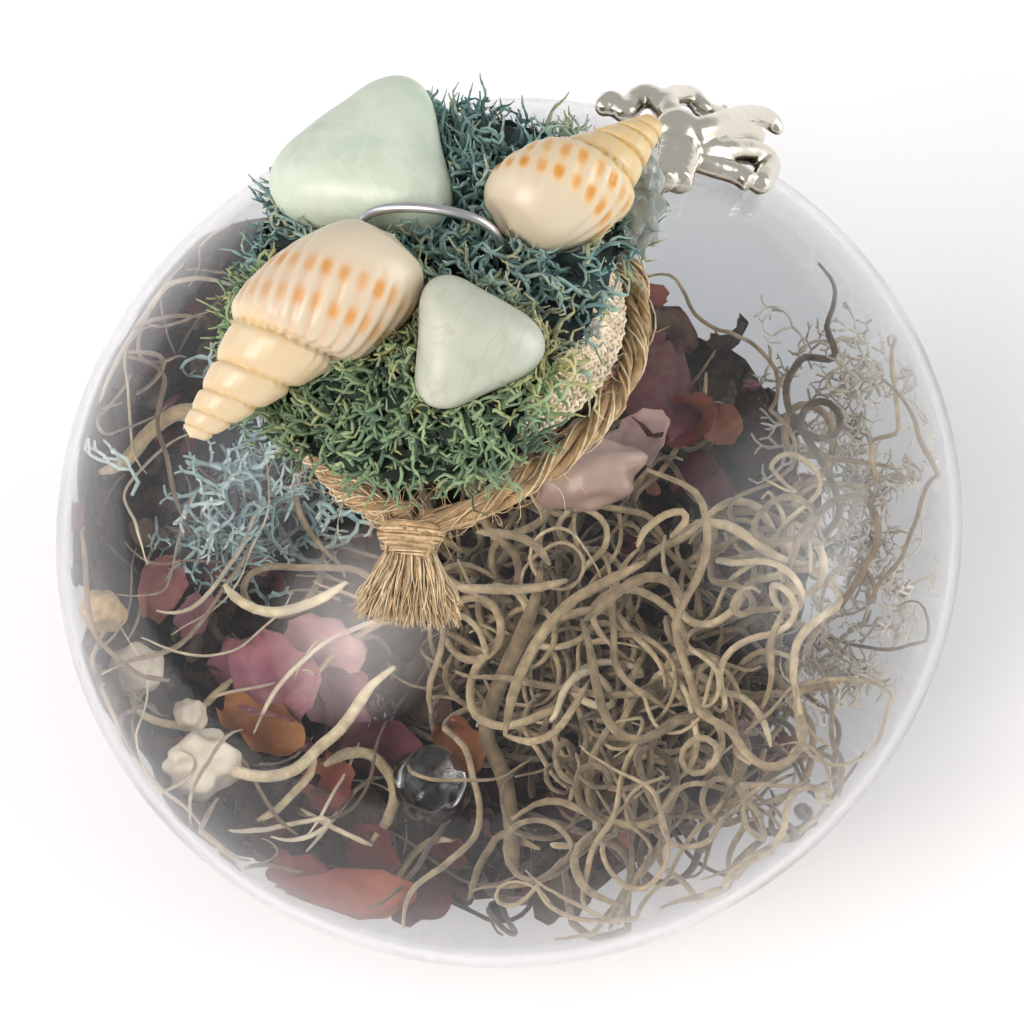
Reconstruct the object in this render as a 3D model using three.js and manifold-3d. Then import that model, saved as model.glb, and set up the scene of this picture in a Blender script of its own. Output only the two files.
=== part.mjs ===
// A glass witch ball: a sealed clear ball with a capped neck, dressed with moss, stones, shells,
// jute and a small cast charm, and hung by a wire loop.
// Millimetres, +Z up. The origin is the centre of the small flat spot that the ball rests on,
// and +Z runs along the axis of the neck.

import * as THREE from 'three';
import { mergeVertices } from 'three/addons/utils/BufferGeometryUtils.js';
import Module from 'manifold-3d';

const wasm = await Module();
wasm.setup();

// Clearance between pieces that touch
const GAP = 0.3;

// Glass ball
const BALL_RADIUS = 40;
const BALL_HALF_HEIGHT = 33;
const FOOT_RADIUS = 7;
const NECK_RADIUS = 11;
const NECK_HEIGHT = 7;
const NECK_FILLET = 1.2;
const BALL_SEGMENTS = 40;
const BALL_RINGS = 13;

// Metal cap over the neck, and how far its skirt stays above the shoulder
const CAP_WALL = 0.6;
const CAP_CLEARANCE = 0.7;
const CAP_FLUTES = 14;
const CAP_FLUTE_DEPTH = 0.25;

// Wire loop that the ball hangs by
const WIRE_DIAMETER = 0.8;
const LOOP_WIDTH = 11.4;
const LOOP_HEIGHT = 8.9;
const LOOP_ARCH = 4.6;
const LOOP_SQUARENESS = 0.7;
const LOOP_TURN = -23;

// Woven jute ribbon round the cap and the neck
const BAND_THICKNESS = 0.7;
const BAND_HEIGHT = 7.4;
const BAND_FLARE = 2.2;
const BAND_LIFT = 1.6;
const BAND_OPEN_SIDE = -48;

// Jute twine, its knot and its tassel. Its slack lies to the front, and the knot pulls it outward
// over a spread in radians.
const TWINE_DIAMETER = 2.3;
const TWINE_SLACK = 0.8;
const TWINE_PULL = 2.4;
const TWINE_PULL_SPREAD = 0.5;
const KNOT_BEARING = -113;
const KNOT_LENGTH = 4.6;
const KNOT_WIDTH = 4.2;
const KNOT_HEIGHT = 3.2;
const TASSEL_LENGTH = 6;
const TASSEL_WIDTH = 9;
const TASSEL_THICKNESS = 1.5;

// Moss heaped over the cap. Its edge is drawn in or out round some bearings, in degrees, by a
// reach over a spread in radians, and on its open side it is lifted off the ribbon.
const MOSS_RADIUS = 17.4;
const MOSS_CROWN = 3.6;
const MOSS_DROOP = 4;
const MOSS_LUMP = 0.9;
const MOSS_SEGMENTS = 34;
const MOSS_EDGES = [
  { bearing: -40, reach: -3.4, spread: 0.42 },
  { bearing: 14, reach: 1.6, spread: 0.4 },
  { bearing: 72, reach: 1.8, spread: 0.7 },
];
const MOSS_HEAVY_BEARING = -125;
const MOSS_OPEN_BEARING = -40;
const MOSS_OPEN_SPREAD = 0.45;

// Tumbled stones: mean radius, thickness, and tilt about X and Y in degrees
const LARGE_STONE_RADIUS = 7;
const LARGE_STONE_THICKNESS = 8;
const LARGE_STONE_TILT = [-3, -4];
const SMALL_STONE_RADIUS = 4.9;
const SMALL_STONE_THICKNESS = 6;
const SMALL_STONE_TILT = [30, 0];

// Whelk shells: length, width, and the bearing and dip of their tips in degrees
const LEFT_SHELL_LENGTH = 23;
const LEFT_SHELL_WIDTH = 11;
const LEFT_SHELL_BEARING = 206;
const LEFT_SHELL_DIP = 15.6;
const RIGHT_SHELL_LENGTH = 15.8;
const RIGHT_SHELL_WIDTH = 9.4;
const RIGHT_SHELL_BEARING = 28;
const RIGHT_SHELL_DIP = 3;
const SHELL_SEGMENTS = 26;
const SHELL_RINGS = 30;

// Cast charm: its rounded body, its arms, and its place on the shoulder
const CHARM_BODY_LENGTH = 5;
const CHARM_BODY_WIDTH = 3.6;
const CHARM_BODY_HEIGHT = 4.2;
const CHARM_ARM_DIAMETER = 2.4;
const CHARM_REACH = 7.2;
const CHARM_BEARING = 35;
const CHARM_CLEARANCE = 2;

const degrees = THREE.MathUtils.degToRad;
const mix = THREE.MathUtils.lerp;
const smooth = THREE.MathUtils.smoothstep;

// Heights that follow from the glass, and the seat that the decoration rests on
const ballMiddle = BALL_HALF_HEIGHT * Math.sqrt(1 - (FOOT_RADIUS / BALL_RADIUS) ** 2);
const glassHeight = (r) => ballMiddle + BALL_HALF_HEIGHT * Math.sqrt(1 - (r / BALL_RADIUS) ** 2);
const neckRoot = glassHeight(NECK_RADIUS);
const neckRim = neckRoot + NECK_HEIGHT;
const capRadius = NECK_RADIUS + GAP + CAP_WALL;
const capTop = neckRim + GAP + CAP_WALL;
const capBottom = neckRoot + NECK_FILLET + CAP_CLEARANCE;
const bandInside = capRadius + GAP;
const bandBottom = neckRoot + 2 * GAP;
const bandTop = bandBottom + BAND_HEIGHT;
const seat = Math.max(capTop, bandTop) + GAP;
const twineLoopRadius = bandInside + BAND_THICKNESS + GAP + TWINE_DIAMETER / 2 + TWINE_SLACK;

// Geometry helpers

// A mesh with shared corners and nothing but positions
function closed(geometry) {
  geometry.deleteAttribute('normal');
  geometry.deleteAttribute('uv');
  return mergeVertices(geometry, 1e-4);
}

// A turned solid from [radius, height] points
function turned(profile, segments) {
  const points = profile.map(([r, z]) => new THREE.Vector2(r, z));
  const geometry = new THREE.LatheGeometry(points, segments);
  geometry.rotateX(Math.PI / 2);
  return closed(geometry);
}

// Each corner of a mesh moved by a function of its place
function reshaped(geometry, move) {
  const place = geometry.attributes.position;
  const point = new THREE.Vector3();
  for (let i = 0; i < place.count; i += 1) {
    point.fromBufferAttribute(place, i);
    move(point);
    place.setXYZ(i, point.x, point.y, point.z);
  }
  return geometry;
}

// A closed skin from rings stacked along Z: a function of turn and share along gives each corner
function wrapped(segments, rings, shape) {
  const ball = closed(new THREE.SphereGeometry(1, segments, rings));
  ball.rotateX(Math.PI / 2);
  return reshaped(ball, (point) => {
    const along = Math.acos(THREE.MathUtils.clamp(-point.z, -1, 1)) / Math.PI;
    const turn = Math.atan2(point.y, point.x);
    point.copy(shape(turn, along));
  });
}

// A wire or cord along a curve, with a closed end at both ends
function cord(curve, diameter, steps, sides) {
  const section = new THREE.Shape();
  for (let i = 0; i < sides; i += 1) {
    const a = (2 * Math.PI * i) / sides;
    const corner = [(diameter / 2) * Math.cos(a), (diameter / 2) * Math.sin(a)];
    if (i === 0) section.moveTo(...corner);
    else section.lineTo(...corner);
  }
  section.closePath();
  const settings = { steps, extrudePath: curve, bevelEnabled: false };
  return closed(new THREE.ExtrudeGeometry(section, settings));
}

function toSolid(geometry) {
  const vertProperties = Float32Array.from(geometry.attributes.position.array);
  const triVerts = Uint32Array.from(geometry.index.array);
  return new wasm.Manifold(new wasm.Mesh({ numProp: 3, vertProperties, triVerts }));
}

function toGeometry(solid) {
  const mesh = solid.getMesh();
  const geometry = new THREE.BufferGeometry();
  geometry.setAttribute('position', new THREE.BufferAttribute(mesh.vertProperties, 3));
  geometry.setIndex(new THREE.BufferAttribute(mesh.triVerts, 1));
  return geometry;
}

function placed(geometry, matrix) {
  const copy = geometry.clone();
  copy.applyMatrix4(matrix);
  return copy;
}

// A place on the glass shoulder: distance from the axis, bearing, and lift off the surface
function onGlass(r, bearing, lift) {
  const rise = glassHeight(r) - ballMiddle;
  const outward = new THREE.Vector2(r / BALL_RADIUS ** 2, rise / BALL_HALF_HEIGHT ** 2).normalize();
  const reach = r + lift * outward.x;
  const height = ballMiddle + rise + lift * outward.y;
  return new THREE.Vector3(reach * Math.cos(bearing), reach * Math.sin(bearing), height);
}

// Glass ball: a flattened ball with a flat foot, running into a straight neck

function glassBall() {
  const profile = [[0, 0], [FOOT_RADIUS, 0]];
  const footAngle = Math.asin(FOOT_RADIUS / BALL_RADIUS);
  const shoulderAngle = Math.PI - Math.asin((NECK_RADIUS + NECK_FILLET) / BALL_RADIUS);
  for (let i = 1; i <= BALL_RINGS; i += 1) {
    const a = mix(footAngle, shoulderAngle, i / BALL_RINGS);
    profile.push([BALL_RADIUS * Math.sin(a), ballMiddle - BALL_HALF_HEIGHT * Math.cos(a)]);
  }
  profile.push([NECK_RADIUS + NECK_FILLET * 0.3, neckRoot + NECK_FILLET * 0.3]);
  profile.push([NECK_RADIUS, neckRoot + NECK_FILLET]);
  profile.push([NECK_RADIUS, neckRim], [0, neckRim]);
  return turned(profile, BALL_SEGMENTS);
}

// Cap: a pressed cup over the neck, with a fluted skirt

function cap() {
  const inside = NECK_RADIUS + GAP;
  const profile = [
    [0, neckRim + GAP],
    [inside, neckRim + GAP],
    [inside, capBottom],
    [capRadius, capBottom],
    [capRadius, capTop - CAP_WALL],
    [capRadius - CAP_WALL, capTop],
    [0, capTop],
  ];
  const cup = turned(profile, CAP_FLUTES * 2);
  return reshaped(cup, (point) => {
    const r = Math.hypot(point.x, point.y);
    if (r < inside + CAP_WALL / 2 || point.z > capTop - 2 * CAP_WALL) return;
    const turn = Math.atan2(point.y, point.x);
    const share = 1 - (CAP_FLUTE_DEPTH * (0.5 - 0.5 * Math.cos(CAP_FLUTES * turn))) / r;
    point.x *= share;
    point.y *= share;
  });
}

// Wire loop: two straight legs on the cap and a flat arch between them

function hangerLoop() {
  const half = LOOP_WIDTH / 2;
  const foot = capTop + GAP;
  const spring = foot + LOOP_HEIGHT - LOOP_ARCH;
  const points = [new THREE.Vector3(-half, 0, foot)];
  const archSteps = 10;
  for (let i = 0; i <= archSteps; i += 1) {
    const a = Math.PI * (1 - i / archSteps);
    const rise = LOOP_ARCH * Math.sin(a) ** LOOP_SQUARENESS;
    points.push(new THREE.Vector3(half * Math.cos(a), 0, spring + rise));
  }
  points.push(new THREE.Vector3(half, 0, foot));
  const wire = cord(new THREE.CatmullRomCurve3(points, false, 'centripetal'), WIRE_DIAMETER, 24, 6);
  wire.rotateZ(degrees(LOOP_TURN));
  return wire;
}

// Jute ribbon: a band round the cap and the neck. On its open side the foot spreads over the twine.

function juteBand() {
  const outside = bandInside + BAND_THICKNESS;
  const profile = [
    [bandInside, bandBottom],
    [outside, bandBottom],
    [outside, mix(bandBottom, bandTop, 0.4)],
    [outside, bandTop],
    [bandInside, bandTop],
    [bandInside, bandBottom],
  ];
  return reshaped(turned(profile, 28), (point) => {
    const bearing = Math.atan2(point.y, point.x);
    const low = (bandTop - point.z) / BAND_HEIGHT;
    const open = low * low * (0.5 + 0.5 * Math.cos(bearing - degrees(BAND_OPEN_SIDE))) ** 3;
    point.x += BAND_FLARE * open * Math.cos(bearing);
    point.y += BAND_FLARE * open * Math.sin(bearing);
    point.z += BAND_LIFT * open;
  });
}

// Twine: a loop that lies on the shoulder, drawn outward into a knot, with a frayed tassel

const knotBearing = degrees(KNOT_BEARING);
const twineLift = TWINE_DIAMETER / 2 + GAP;

function twineRadius(bearing) {
  const off = THREE.MathUtils.euclideanModulo(bearing - knotBearing + Math.PI, 2 * Math.PI) - Math.PI;
  const pull = TWINE_PULL * Math.exp(-((off / TWINE_PULL_SPREAD) ** 2));
  return twineLoopRadius - TWINE_SLACK * Math.sin(bearing) + pull;
}

function twine() {
  const points = [];
  const steps = 40;
  for (let i = 0; i <= steps; i += 1) {
    const bearing = knotBearing + mix(0.05, 2 * Math.PI - 0.05, i / steps);
    const r = twineRadius(bearing);
    const lean = r / BALL_RADIUS;
    points.push(onGlass(r - twineLift * lean, bearing, twineLift));
  }
  const loop = cord(new THREE.CatmullRomCurve3(points), TWINE_DIAMETER, 44, 6);

  const knotRadius = twineRadius(knotBearing);
  const knotPlace = onGlass(knotRadius, knotBearing, KNOT_HEIGHT / 2 + GAP);
  const knot = wrapped(8, 6, (turn, along) => {
    const round = Math.sin(Math.PI * along);
    return new THREE.Vector3(
      (KNOT_LENGTH / 2) * round * Math.cos(turn),
      (KNOT_WIDTH / 2) * round * Math.sin(turn),
      (-KNOT_HEIGHT / 2) * Math.cos(Math.PI * along),
    );
  });
  const slope = Math.atan2(knotRadius / BALL_RADIUS ** 2, 1 / BALL_RADIUS);
  knot.rotateY(slope);
  knot.rotateZ(knotBearing);
  knot.translate(knotPlace.x, knotPlace.y, knotPlace.z);

  const tassel = closed(new THREE.BoxGeometry(1, 1, 1, 6, 4, 1));
  reshaped(tassel, (point) => {
    const along = point.y + 0.5;
    const width = mix(KNOT_WIDTH * 0.6, TASSEL_WIDTH, along ** 0.8);
    const ragged = 0.4 * Math.cos(9 * point.x) * along;
    const r = knotRadius + (TASSEL_LENGTH + ragged) * along;
    const edge = 1 - 0.5 * (2 * point.x) ** 2;
    const lift = GAP + (point.z + 0.5) * TASSEL_THICKNESS * edge * mix(1.2, 0.8, along);
    point.copy(onGlass(r, knotBearing - (point.x * width) / r, lift));
  });
  return toGeometry(toSolid(loop).add(toSolid(knot)).add(toSolid(tassel)));
}

// Whelk shell: a spire of stepped whorls and a large last whorl.
// Shares run from the tip to the mouth end: where the last seam is, how the whorls grow, how far
// they lean with the spiral and slope across the axis, and where the last whorl is widest.

const SEAM_SHARE = 0.46;
const SEAM_SHIFT = 0.12;
const SEAM_DEPTH = 0.17;
const WHORL_GROWTH = 1.38;
const WHORL_LEAN = 0.12;
const WHORL_SLOPE = 0.2;
const BODY_SHARE = 0.665;
const BODY_REACH = 0.335;
const BODY_BLUNT = 2.4;
const SHOULDER = 0.88;

// The share of the full width at a share along, on the side at a turn
function whelkOutline(along, turn) {
  const lean = WHORL_LEAN * (1 - smooth(along, BODY_SHARE, 1));
  const s = along * (1 - lean * Math.sin(turn));
  if (s < SEAM_SHARE) return 0.17 + 1.3 * s;
  const off = Math.min(1, Math.abs(s - BODY_SHARE) / BODY_REACH);
  const body = (1 - off ** BODY_BLUNT) ** (1 / BODY_BLUNT);
  return s < BODY_SHARE ? Math.max(body, SHOULDER) : body;
}

function whelk(length, width) {
  return wrapped(SHELL_SEGMENTS, SHELL_RINGS, (turn, along) => {
    const s = mix(along, 0.5 - 0.5 * Math.cos(Math.PI * along), 0.5);
    const whorl = Math.log((s + SEAM_SHIFT) / (SEAM_SHARE + SEAM_SHIFT)) / Math.log(WHORL_GROWTH);
    const seam = (0.5 + 0.5 * Math.cos(2 * Math.PI * whorl - turn)) ** 2;
    const fade = 1 - smooth(s, SEAM_SHARE + 0.06, SEAM_SHARE + 0.16);
    const ends = smooth(along, 0, 0.05) * smooth(1 - along, 0, 0.08);
    const r = (width / 2) * whelkOutline(s, turn) * (1 - SEAM_DEPTH * fade * seam) * ends;
    const slope = WHORL_SLOPE * r * Math.sin(turn);
    return new THREE.Vector3(r * Math.cos(turn), r * Math.sin(turn), length * s + slope);
  });
}

// The room that a shell takes up in the moss: its outline with clearance, and coarser
function whelkRoom(length, width) {
  return wrapped(12, 10, (turn, along) => {
    const r = ((width / 2) * whelkOutline(along, turn) + 4 * GAP) * Math.sin(Math.PI * along) ** 0.15;
    const z = mix(-2 * GAP, length + 4 * GAP, along) + WHORL_SLOPE * r * Math.sin(turn);
    return new THREE.Vector3(r * Math.cos(turn), r * Math.sin(turn), z);
  });
}

// A shell laid by the middle of its last whorl, back up, with its tip along a bearing and a dip
function laid(geometry, length, place, bearing, dip) {
  const level = Math.cos(degrees(dip));
  const toTip = new THREE.Vector3(
    level * Math.cos(degrees(bearing)),
    level * Math.sin(degrees(bearing)),
    -Math.sin(degrees(dip)),
  );
  const toMouth = toTip.clone().negate();
  const back = new THREE.Vector3(0, 0, 1).projectOnPlane(toMouth).normalize();
  const side = new THREE.Vector3().crossVectors(toMouth, back);
  const tip = place.clone().addScaledVector(toTip, length * BODY_SHARE);
  return placed(geometry, new THREE.Matrix4().makeBasis(back, side, toMouth).setPosition(tip));
}

const leftWhorl = new THREE.Vector3(
  -LOOP_WIDTH * 0.33 - LEFT_SHELL_WIDTH / 2,
  -4.3,
  seat + LEFT_SHELL_WIDTH / 2 + GAP,
);
const rightWhorl = new THREE.Vector3(
  LOOP_WIDTH / 2 + RIGHT_SHELL_WIDTH * 0.55,
  0.8,
  seat + RIGHT_SHELL_WIDTH / 2 + GAP,
);

function leftShell(form) {
  const raw = form(LEFT_SHELL_LENGTH, LEFT_SHELL_WIDTH);
  return laid(raw, LEFT_SHELL_LENGTH, leftWhorl, LEFT_SHELL_BEARING, LEFT_SHELL_DIP);
}

function rightShell(form) {
  const raw = form(RIGHT_SHELL_LENGTH, RIGHT_SHELL_WIDTH);
  return laid(raw, RIGHT_SHELL_LENGTH, rightWhorl, RIGHT_SHELL_BEARING, RIGHT_SHELL_DIP);
}

// Tumbled stone: a rounded triangle in plan, with one corner at a bearing, and a pillow in section

const SIDE_REACH = 0.85;

function roundedTriangle(bearing, corner) {
  const sides = [60, 180, 300].map((side) => Math.max(0, Math.cos(bearing - corner - degrees(side))));
  return SIDE_REACH / Math.hypot(...sides);
}

function stone(radius, thickness, { corner, lean, leanTo }, grow) {
  return wrapped(18, 10, (turn, along) => {
    const plan = roundedTriangle(turn, corner) + lean * Math.cos(turn - leanTo);
    const round = Math.sin(Math.PI * along) ** 0.75;
    const height = -Math.cos(Math.PI * along);
    const pillow = Math.sign(height) * Math.abs(height) ** 0.85;
    const r = radius * plan * round + grow * Math.sin(Math.PI * along);
    return new THREE.Vector3(r * Math.cos(turn), r * Math.sin(turn), (thickness / 2 + grow) * pillow);
  });
}

const largeForm = { corner: degrees(58), lean: 0.07, leanTo: Math.PI };
const smallForm = { corner: degrees(-18), lean: 0.06, leanTo: degrees(-20) };

function tilted(place, [tiltX, tiltY]) {
  const turn = new THREE.Euler(degrees(tiltX), degrees(tiltY), 0);
  return new THREE.Matrix4().makeRotationFromEuler(turn).setPosition(place);
}

// The large stone lies behind the wire loop
function largeStone(grow) {
  const y = LOOP_WIDTH * 0.22 + LARGE_STONE_RADIUS * 0.9;
  const place = new THREE.Vector3(-2.7, y, seat + LARGE_STONE_THICKNESS / 2 + GAP);
  const raw = stone(LARGE_STONE_RADIUS, LARGE_STONE_THICKNESS, largeForm, grow);
  return placed(raw, tilted(place, LARGE_STONE_TILT));
}

// The small stone leans against the left shell's last whorl, on the front slope
function smallStone(grow) {
  const away = new THREE.Vector3(9.6, -6.2, -1.2).normalize();
  const reach = LEFT_SHELL_WIDTH / 2 + SMALL_STONE_RADIUS + 5 * GAP;
  const place = leftWhorl.clone().addScaledVector(away, reach);
  const raw = stone(SMALL_STONE_RADIUS, SMALL_STONE_THICKNESS, smallForm, grow);
  return placed(raw, tilted(place, SMALL_STONE_TILT));
}

// Moss: a lumpy heap over the cap and the ribbon, parted into a blue and a green clump

// A hill of height 1 at a bearing, over a spread in radians
function hill(bearing, at, spread) {
  return Math.exp(-(((bearing - degrees(at)) / spread) ** 2));
}

function mossRim(bearing) {
  const heavy = Math.cos(bearing - degrees(MOSS_HEAVY_BEARING));
  const drawn = MOSS_EDGES.map((edge) => edge.reach * hill(bearing, edge.bearing, edge.spread));
  return MOSS_RADIUS + heavy + drawn.reduce((sum, reach) => sum + reach);
}

function mossHeap() {
  const crown = seat + MOSS_CROWN;
  const rimHeight = seat - MOSS_DROOP;
  const profile = [[0, -1], [0.7, -1], [0.9, -0.7], [1, 0], [0.94, 0.35], [0.8, 0.62], [0.6, 0.83]];
  profile.push([0.35, 0.97], [0, 1]);
  return reshaped(turned(profile, MOSS_SEGMENTS), (point) => {
    const share = Math.hypot(point.x, point.y);
    const bearing = Math.atan2(point.y, point.x);
    const lumps = Math.sin(7 * bearing + 5 * share) + Math.sin(4 * bearing - 9 * share + 2);
    const lump = MOSS_LUMP * lumps * 0.5 * share;
    const open = hill(bearing, MOSS_OPEN_BEARING, MOSS_OPEN_SPREAD);
    const height = point.z > 0 ? mix(rimHeight, crown, point.z) : rimHeight + point.z;
    const r = share * (mossRim(bearing) + lump);
    const lift = share > 0.5 ? open * (1 - Math.max(0, point.z)) * MOSS_DROOP : 0;
    point.set(r * Math.cos(bearing), r * Math.sin(bearing), height + lift + (point.z > 0 ? lump : 0));
  });
}

// What the moss leaves room for: the cap and the ribbon, the twine below it, and the wire's legs

function mossRooms() {
  const ribbon = bandInside + BAND_THICKNESS + BAND_FLARE * 0.5 + GAP;
  const low = bandBottom - BAND_HEIGHT;
  const twineTop = glassHeight(twineLoopRadius - TWINE_SLACK) + TWINE_DIAMETER + 3 * GAP;
  const wide = MOSS_RADIUS * 2;
  const rooms = [
    turned([[0, low], [ribbon, low], [ribbon, seat], [0, seat]], 28),
    turned([[0, low], [wide, low], [wide, twineTop], [0, twineTop]], 20),
  ];
  for (const side of [-1, 1]) {
    const leg = new THREE.CylinderGeometry(WIRE_DIAMETER, WIRE_DIAMETER, LOOP_HEIGHT * 2, 6);
    leg.rotateX(Math.PI / 2);
    leg.translate((side * LOOP_WIDTH) / 2, 0, capTop + LOOP_HEIGHT);
    leg.rotateZ(degrees(LOOP_TURN));
    rooms.push(closed(leg));
  }
  return rooms;
}

const PARTING_BEARING = 53;
const PARTING_OFFSET = -5.2;

// A wide block on one side of the line between the two colours of moss
function mossSide(side) {
  const size = MOSS_RADIUS * 4;
  const block = new THREE.BoxGeometry(size, size, size);
  block.translate(PARTING_OFFSET + side * (size / 2 + GAP / 2), 0, seat);
  block.rotateZ(degrees(PARTING_BEARING));
  return toSolid(closed(block));
}

// The largest body of a cut solid, without any crumb that a cut leaves loose
function largestPart(solid) {
  const parts = solid.decompose();
  parts.sort((a, b) => b.volume() - a.volume());
  return toGeometry(parts[0]);
}

function mossClumps() {
  let heap = toSolid(mossHeap());
  const pieces = [largeStone(GAP), smallStone(GAP), leftShell(whelkRoom), rightShell(whelkRoom)];
  for (const room of mossRooms().concat(pieces)) heap = heap.subtract(toSolid(room));
  return [1, -1].map((side) => largestPart(heap.intersect(mossSide(side))));
}

// Charm: a rounded body with curled arms, cast in one piece and lying on the shoulder

const CHARM_ARMS = [
  { heading: -48, reach: 0.75, curl: 1.9, rise: 0.3 },
  { heading: -8, reach: 1.0, curl: -0.9, rise: 0.8 },
  { heading: 22, reach: 1.1, curl: -0.5, rise: 2.2 },
  { heading: 62, reach: 0.75, curl: -1.5, rise: 2.6 },
  { heading: 128, reach: 1.0, curl: 1.1, rise: 2.6 },
  { heading: 172, reach: 1.3, curl: -0.7, rise: 2.6 },
];

function charm() {
  const distance = twineLoopRadius + TWINE_DIAMETER / 2 + CHARM_CLEARANCE + CHARM_REACH;
  const base = onGlass(distance, degrees(CHARM_BEARING), GAP);
  const up = onGlass(distance, degrees(CHARM_BEARING), GAP + 1).sub(base);
  const right = new THREE.Vector3(1, -0.3, 0).projectOnPlane(up).normalize();
  const away = new THREE.Vector3().crossVectors(up, right);
  const frame = new THREE.Matrix4().makeBasis(right, away, up).setPosition(base);
  const sag = (x, y) => (x * x + y * y) / (2 * BALL_HALF_HEIGHT);
  let solid = toSolid(wrapped(10, 7, (turn, along) => {
    const round = Math.sin(Math.PI * along);
    const y = (CHARM_BODY_LENGTH / 2) * (round * Math.sin(turn) - 0.5);
    return new THREE.Vector3(
      (CHARM_BODY_WIDTH / 2) * (round * Math.cos(turn) - 0.7),
      y,
      (CHARM_BODY_HEIGHT / 2) * (1 - Math.cos(Math.PI * along)),
    );
  }));
  for (const arm of CHARM_ARMS) {
    const points = [];
    for (let i = 0; i <= 6; i += 1) {
      const share = i / 6;
      const bend = degrees(arm.heading) + arm.curl * share ** 1.6;
      const r = CHARM_REACH * arm.reach * share;
      const x = r * Math.cos(bend);
      const y = r * Math.sin(bend) * 0.7;
      const wave = arm.rise * (Math.sin(Math.PI * share * 0.8) + 0.25 * Math.sin(3 * Math.PI * share));
      points.push(new THREE.Vector3(x, y, CHARM_ARM_DIAMETER / 2 + wave - sag(x, y)));
    }
    const tube = cord(new THREE.CatmullRomCurve3(points), CHARM_ARM_DIAMETER, 7, 5);
    solid = solid.add(toSolid(tube));
  }
  return placed(toGeometry(solid), frame);
}

// The object

const group = new THREE.Group();

function add(name, geometry, color, roughness, metalness) {
  const material = new THREE.MeshStandardMaterial({ color, roughness, metalness });
  const mesh = new THREE.Mesh(geometry, material);
  mesh.name = name;
  group.add(mesh);
  return mesh;
}

const [mossBlue, mossGreen] = mossClumps();

const ball = add('glass_ball', glassBall(), 0xd8dcdc, 0.02, 0);
ball.material.transparent = true;
ball.material.opacity = 0.3;
add('cap', cap(), 0xbfc0c2, 0.3, 1);
add('hanger_loop', hangerLoop(), 0xb4b4b8, 0.25, 1);
add('jute_band', juteBand(), 0xc9ab84, 0.9, 0);
add('twine', twine(), 0xc29a63, 0.9, 0);
add('moss_blue', mossBlue, 0x4f7d80, 0.95, 0);
add('moss_green', mossGreen, 0x7f9f7c, 0.95, 0);
add('stone_large', largeStone(0), 0xc3d4c5, 0.35, 0);
add('stone_small', smallStone(0), 0xc6d0c2, 0.35, 0);
add('shell_left', leftShell(whelk), 0xeed9b6, 0.3, 0);
add('shell_right', rightShell(whelk), 0xeed6a8, 0.3, 0);
add('charm', charm(), 0xb5b0a4, 0.3, 1);

export default group;
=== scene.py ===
"""Visual model of a glass witch ball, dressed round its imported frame. Blender 4.5."""
import math
import random

import bmesh
import bpy
from mathutils import Matrix, Vector, noise
from mathutils.bvhtree import BVHTree


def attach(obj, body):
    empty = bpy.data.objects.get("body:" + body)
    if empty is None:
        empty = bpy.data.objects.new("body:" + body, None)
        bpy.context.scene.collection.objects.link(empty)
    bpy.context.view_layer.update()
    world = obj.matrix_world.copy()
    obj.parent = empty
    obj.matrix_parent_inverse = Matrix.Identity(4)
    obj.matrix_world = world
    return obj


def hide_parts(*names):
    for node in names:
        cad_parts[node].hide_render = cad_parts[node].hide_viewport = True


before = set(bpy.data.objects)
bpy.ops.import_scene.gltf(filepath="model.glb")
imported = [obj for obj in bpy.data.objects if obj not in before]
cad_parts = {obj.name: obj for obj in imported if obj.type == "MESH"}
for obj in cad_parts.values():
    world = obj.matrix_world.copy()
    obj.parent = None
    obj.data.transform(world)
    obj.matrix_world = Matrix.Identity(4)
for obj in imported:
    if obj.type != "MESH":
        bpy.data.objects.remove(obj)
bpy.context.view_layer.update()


# Glass ball: clear soda-lime glass, blown and then flattened a little, with a straight neck.
# The wall is about a millimetre thick, so the dried filling shows through it with little bending,
# and the rim of the ball shows as a soft grey edge. Sizes from here on are in millimetres.

MM = 0.001
BALL_RADIUS = 40
BALL_HALF_HEIGHT = 33
FOOT_RADIUS = 7
NECK_RADIUS = 11
NECK_HEIGHT = 7
NECK_FILLET = 1.2
GLASS_WALL = 0.9
BALL_MIDDLE = BALL_HALF_HEIGHT * math.sqrt(1 - (FOOT_RADIUS / BALL_RADIUS) ** 2)


def glass_height(r):
    return BALL_MIDDLE + BALL_HALF_HEIGHT * math.sqrt(1 - (r / BALL_RADIUS) ** 2)


NECK_ROOT = glass_height(NECK_RADIUS)
NECK_RIM = NECK_ROOT + NECK_HEIGHT


def mix(a, b, t):
    return a + (b - a) * t


def ramp(x, low, high):
    """A smooth step from 0 at low to 1 at high."""
    t = min(1, max(0, (x - low) / (high - low)))
    return t * t * (3 - 2 * t)


def linear(hex_value):
    """An sRGB hex colour as linear RGBA."""
    shares = [int(hex_value[i:i + 2], 16) / 255 for i in (1, 3, 5)]
    return [s / 12.92 if s <= 0.04045 else ((s + 0.055) / 1.055) ** 2.4 for s in shares] + [1]


def new_material(name):
    material = bpy.data.materials.new(name)
    material.use_nodes = True
    material.node_tree.nodes.clear()
    return material


def add_node(material, kind, inputs=None, **settings):
    """Adds a node. Settings are its properties; inputs are values, or outputs to link from."""
    tree = material.node_tree
    node = tree.nodes.new("ShaderNode" + kind)
    for key, value in settings.items():
        setattr(node, key, value)
    for key, value in (inputs or {}).items():
        if isinstance(value, bpy.types.NodeSocket):
            tree.links.new(value, node.inputs[key])
        else:
            node.inputs[key].default_value = value
    return node


def finish_material(material, surface):
    shader = add_node(material, "BsdfPrincipled", surface)
    add_node(material, "OutputMaterial", {"Surface": shader.outputs[0]})
    return material


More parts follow.
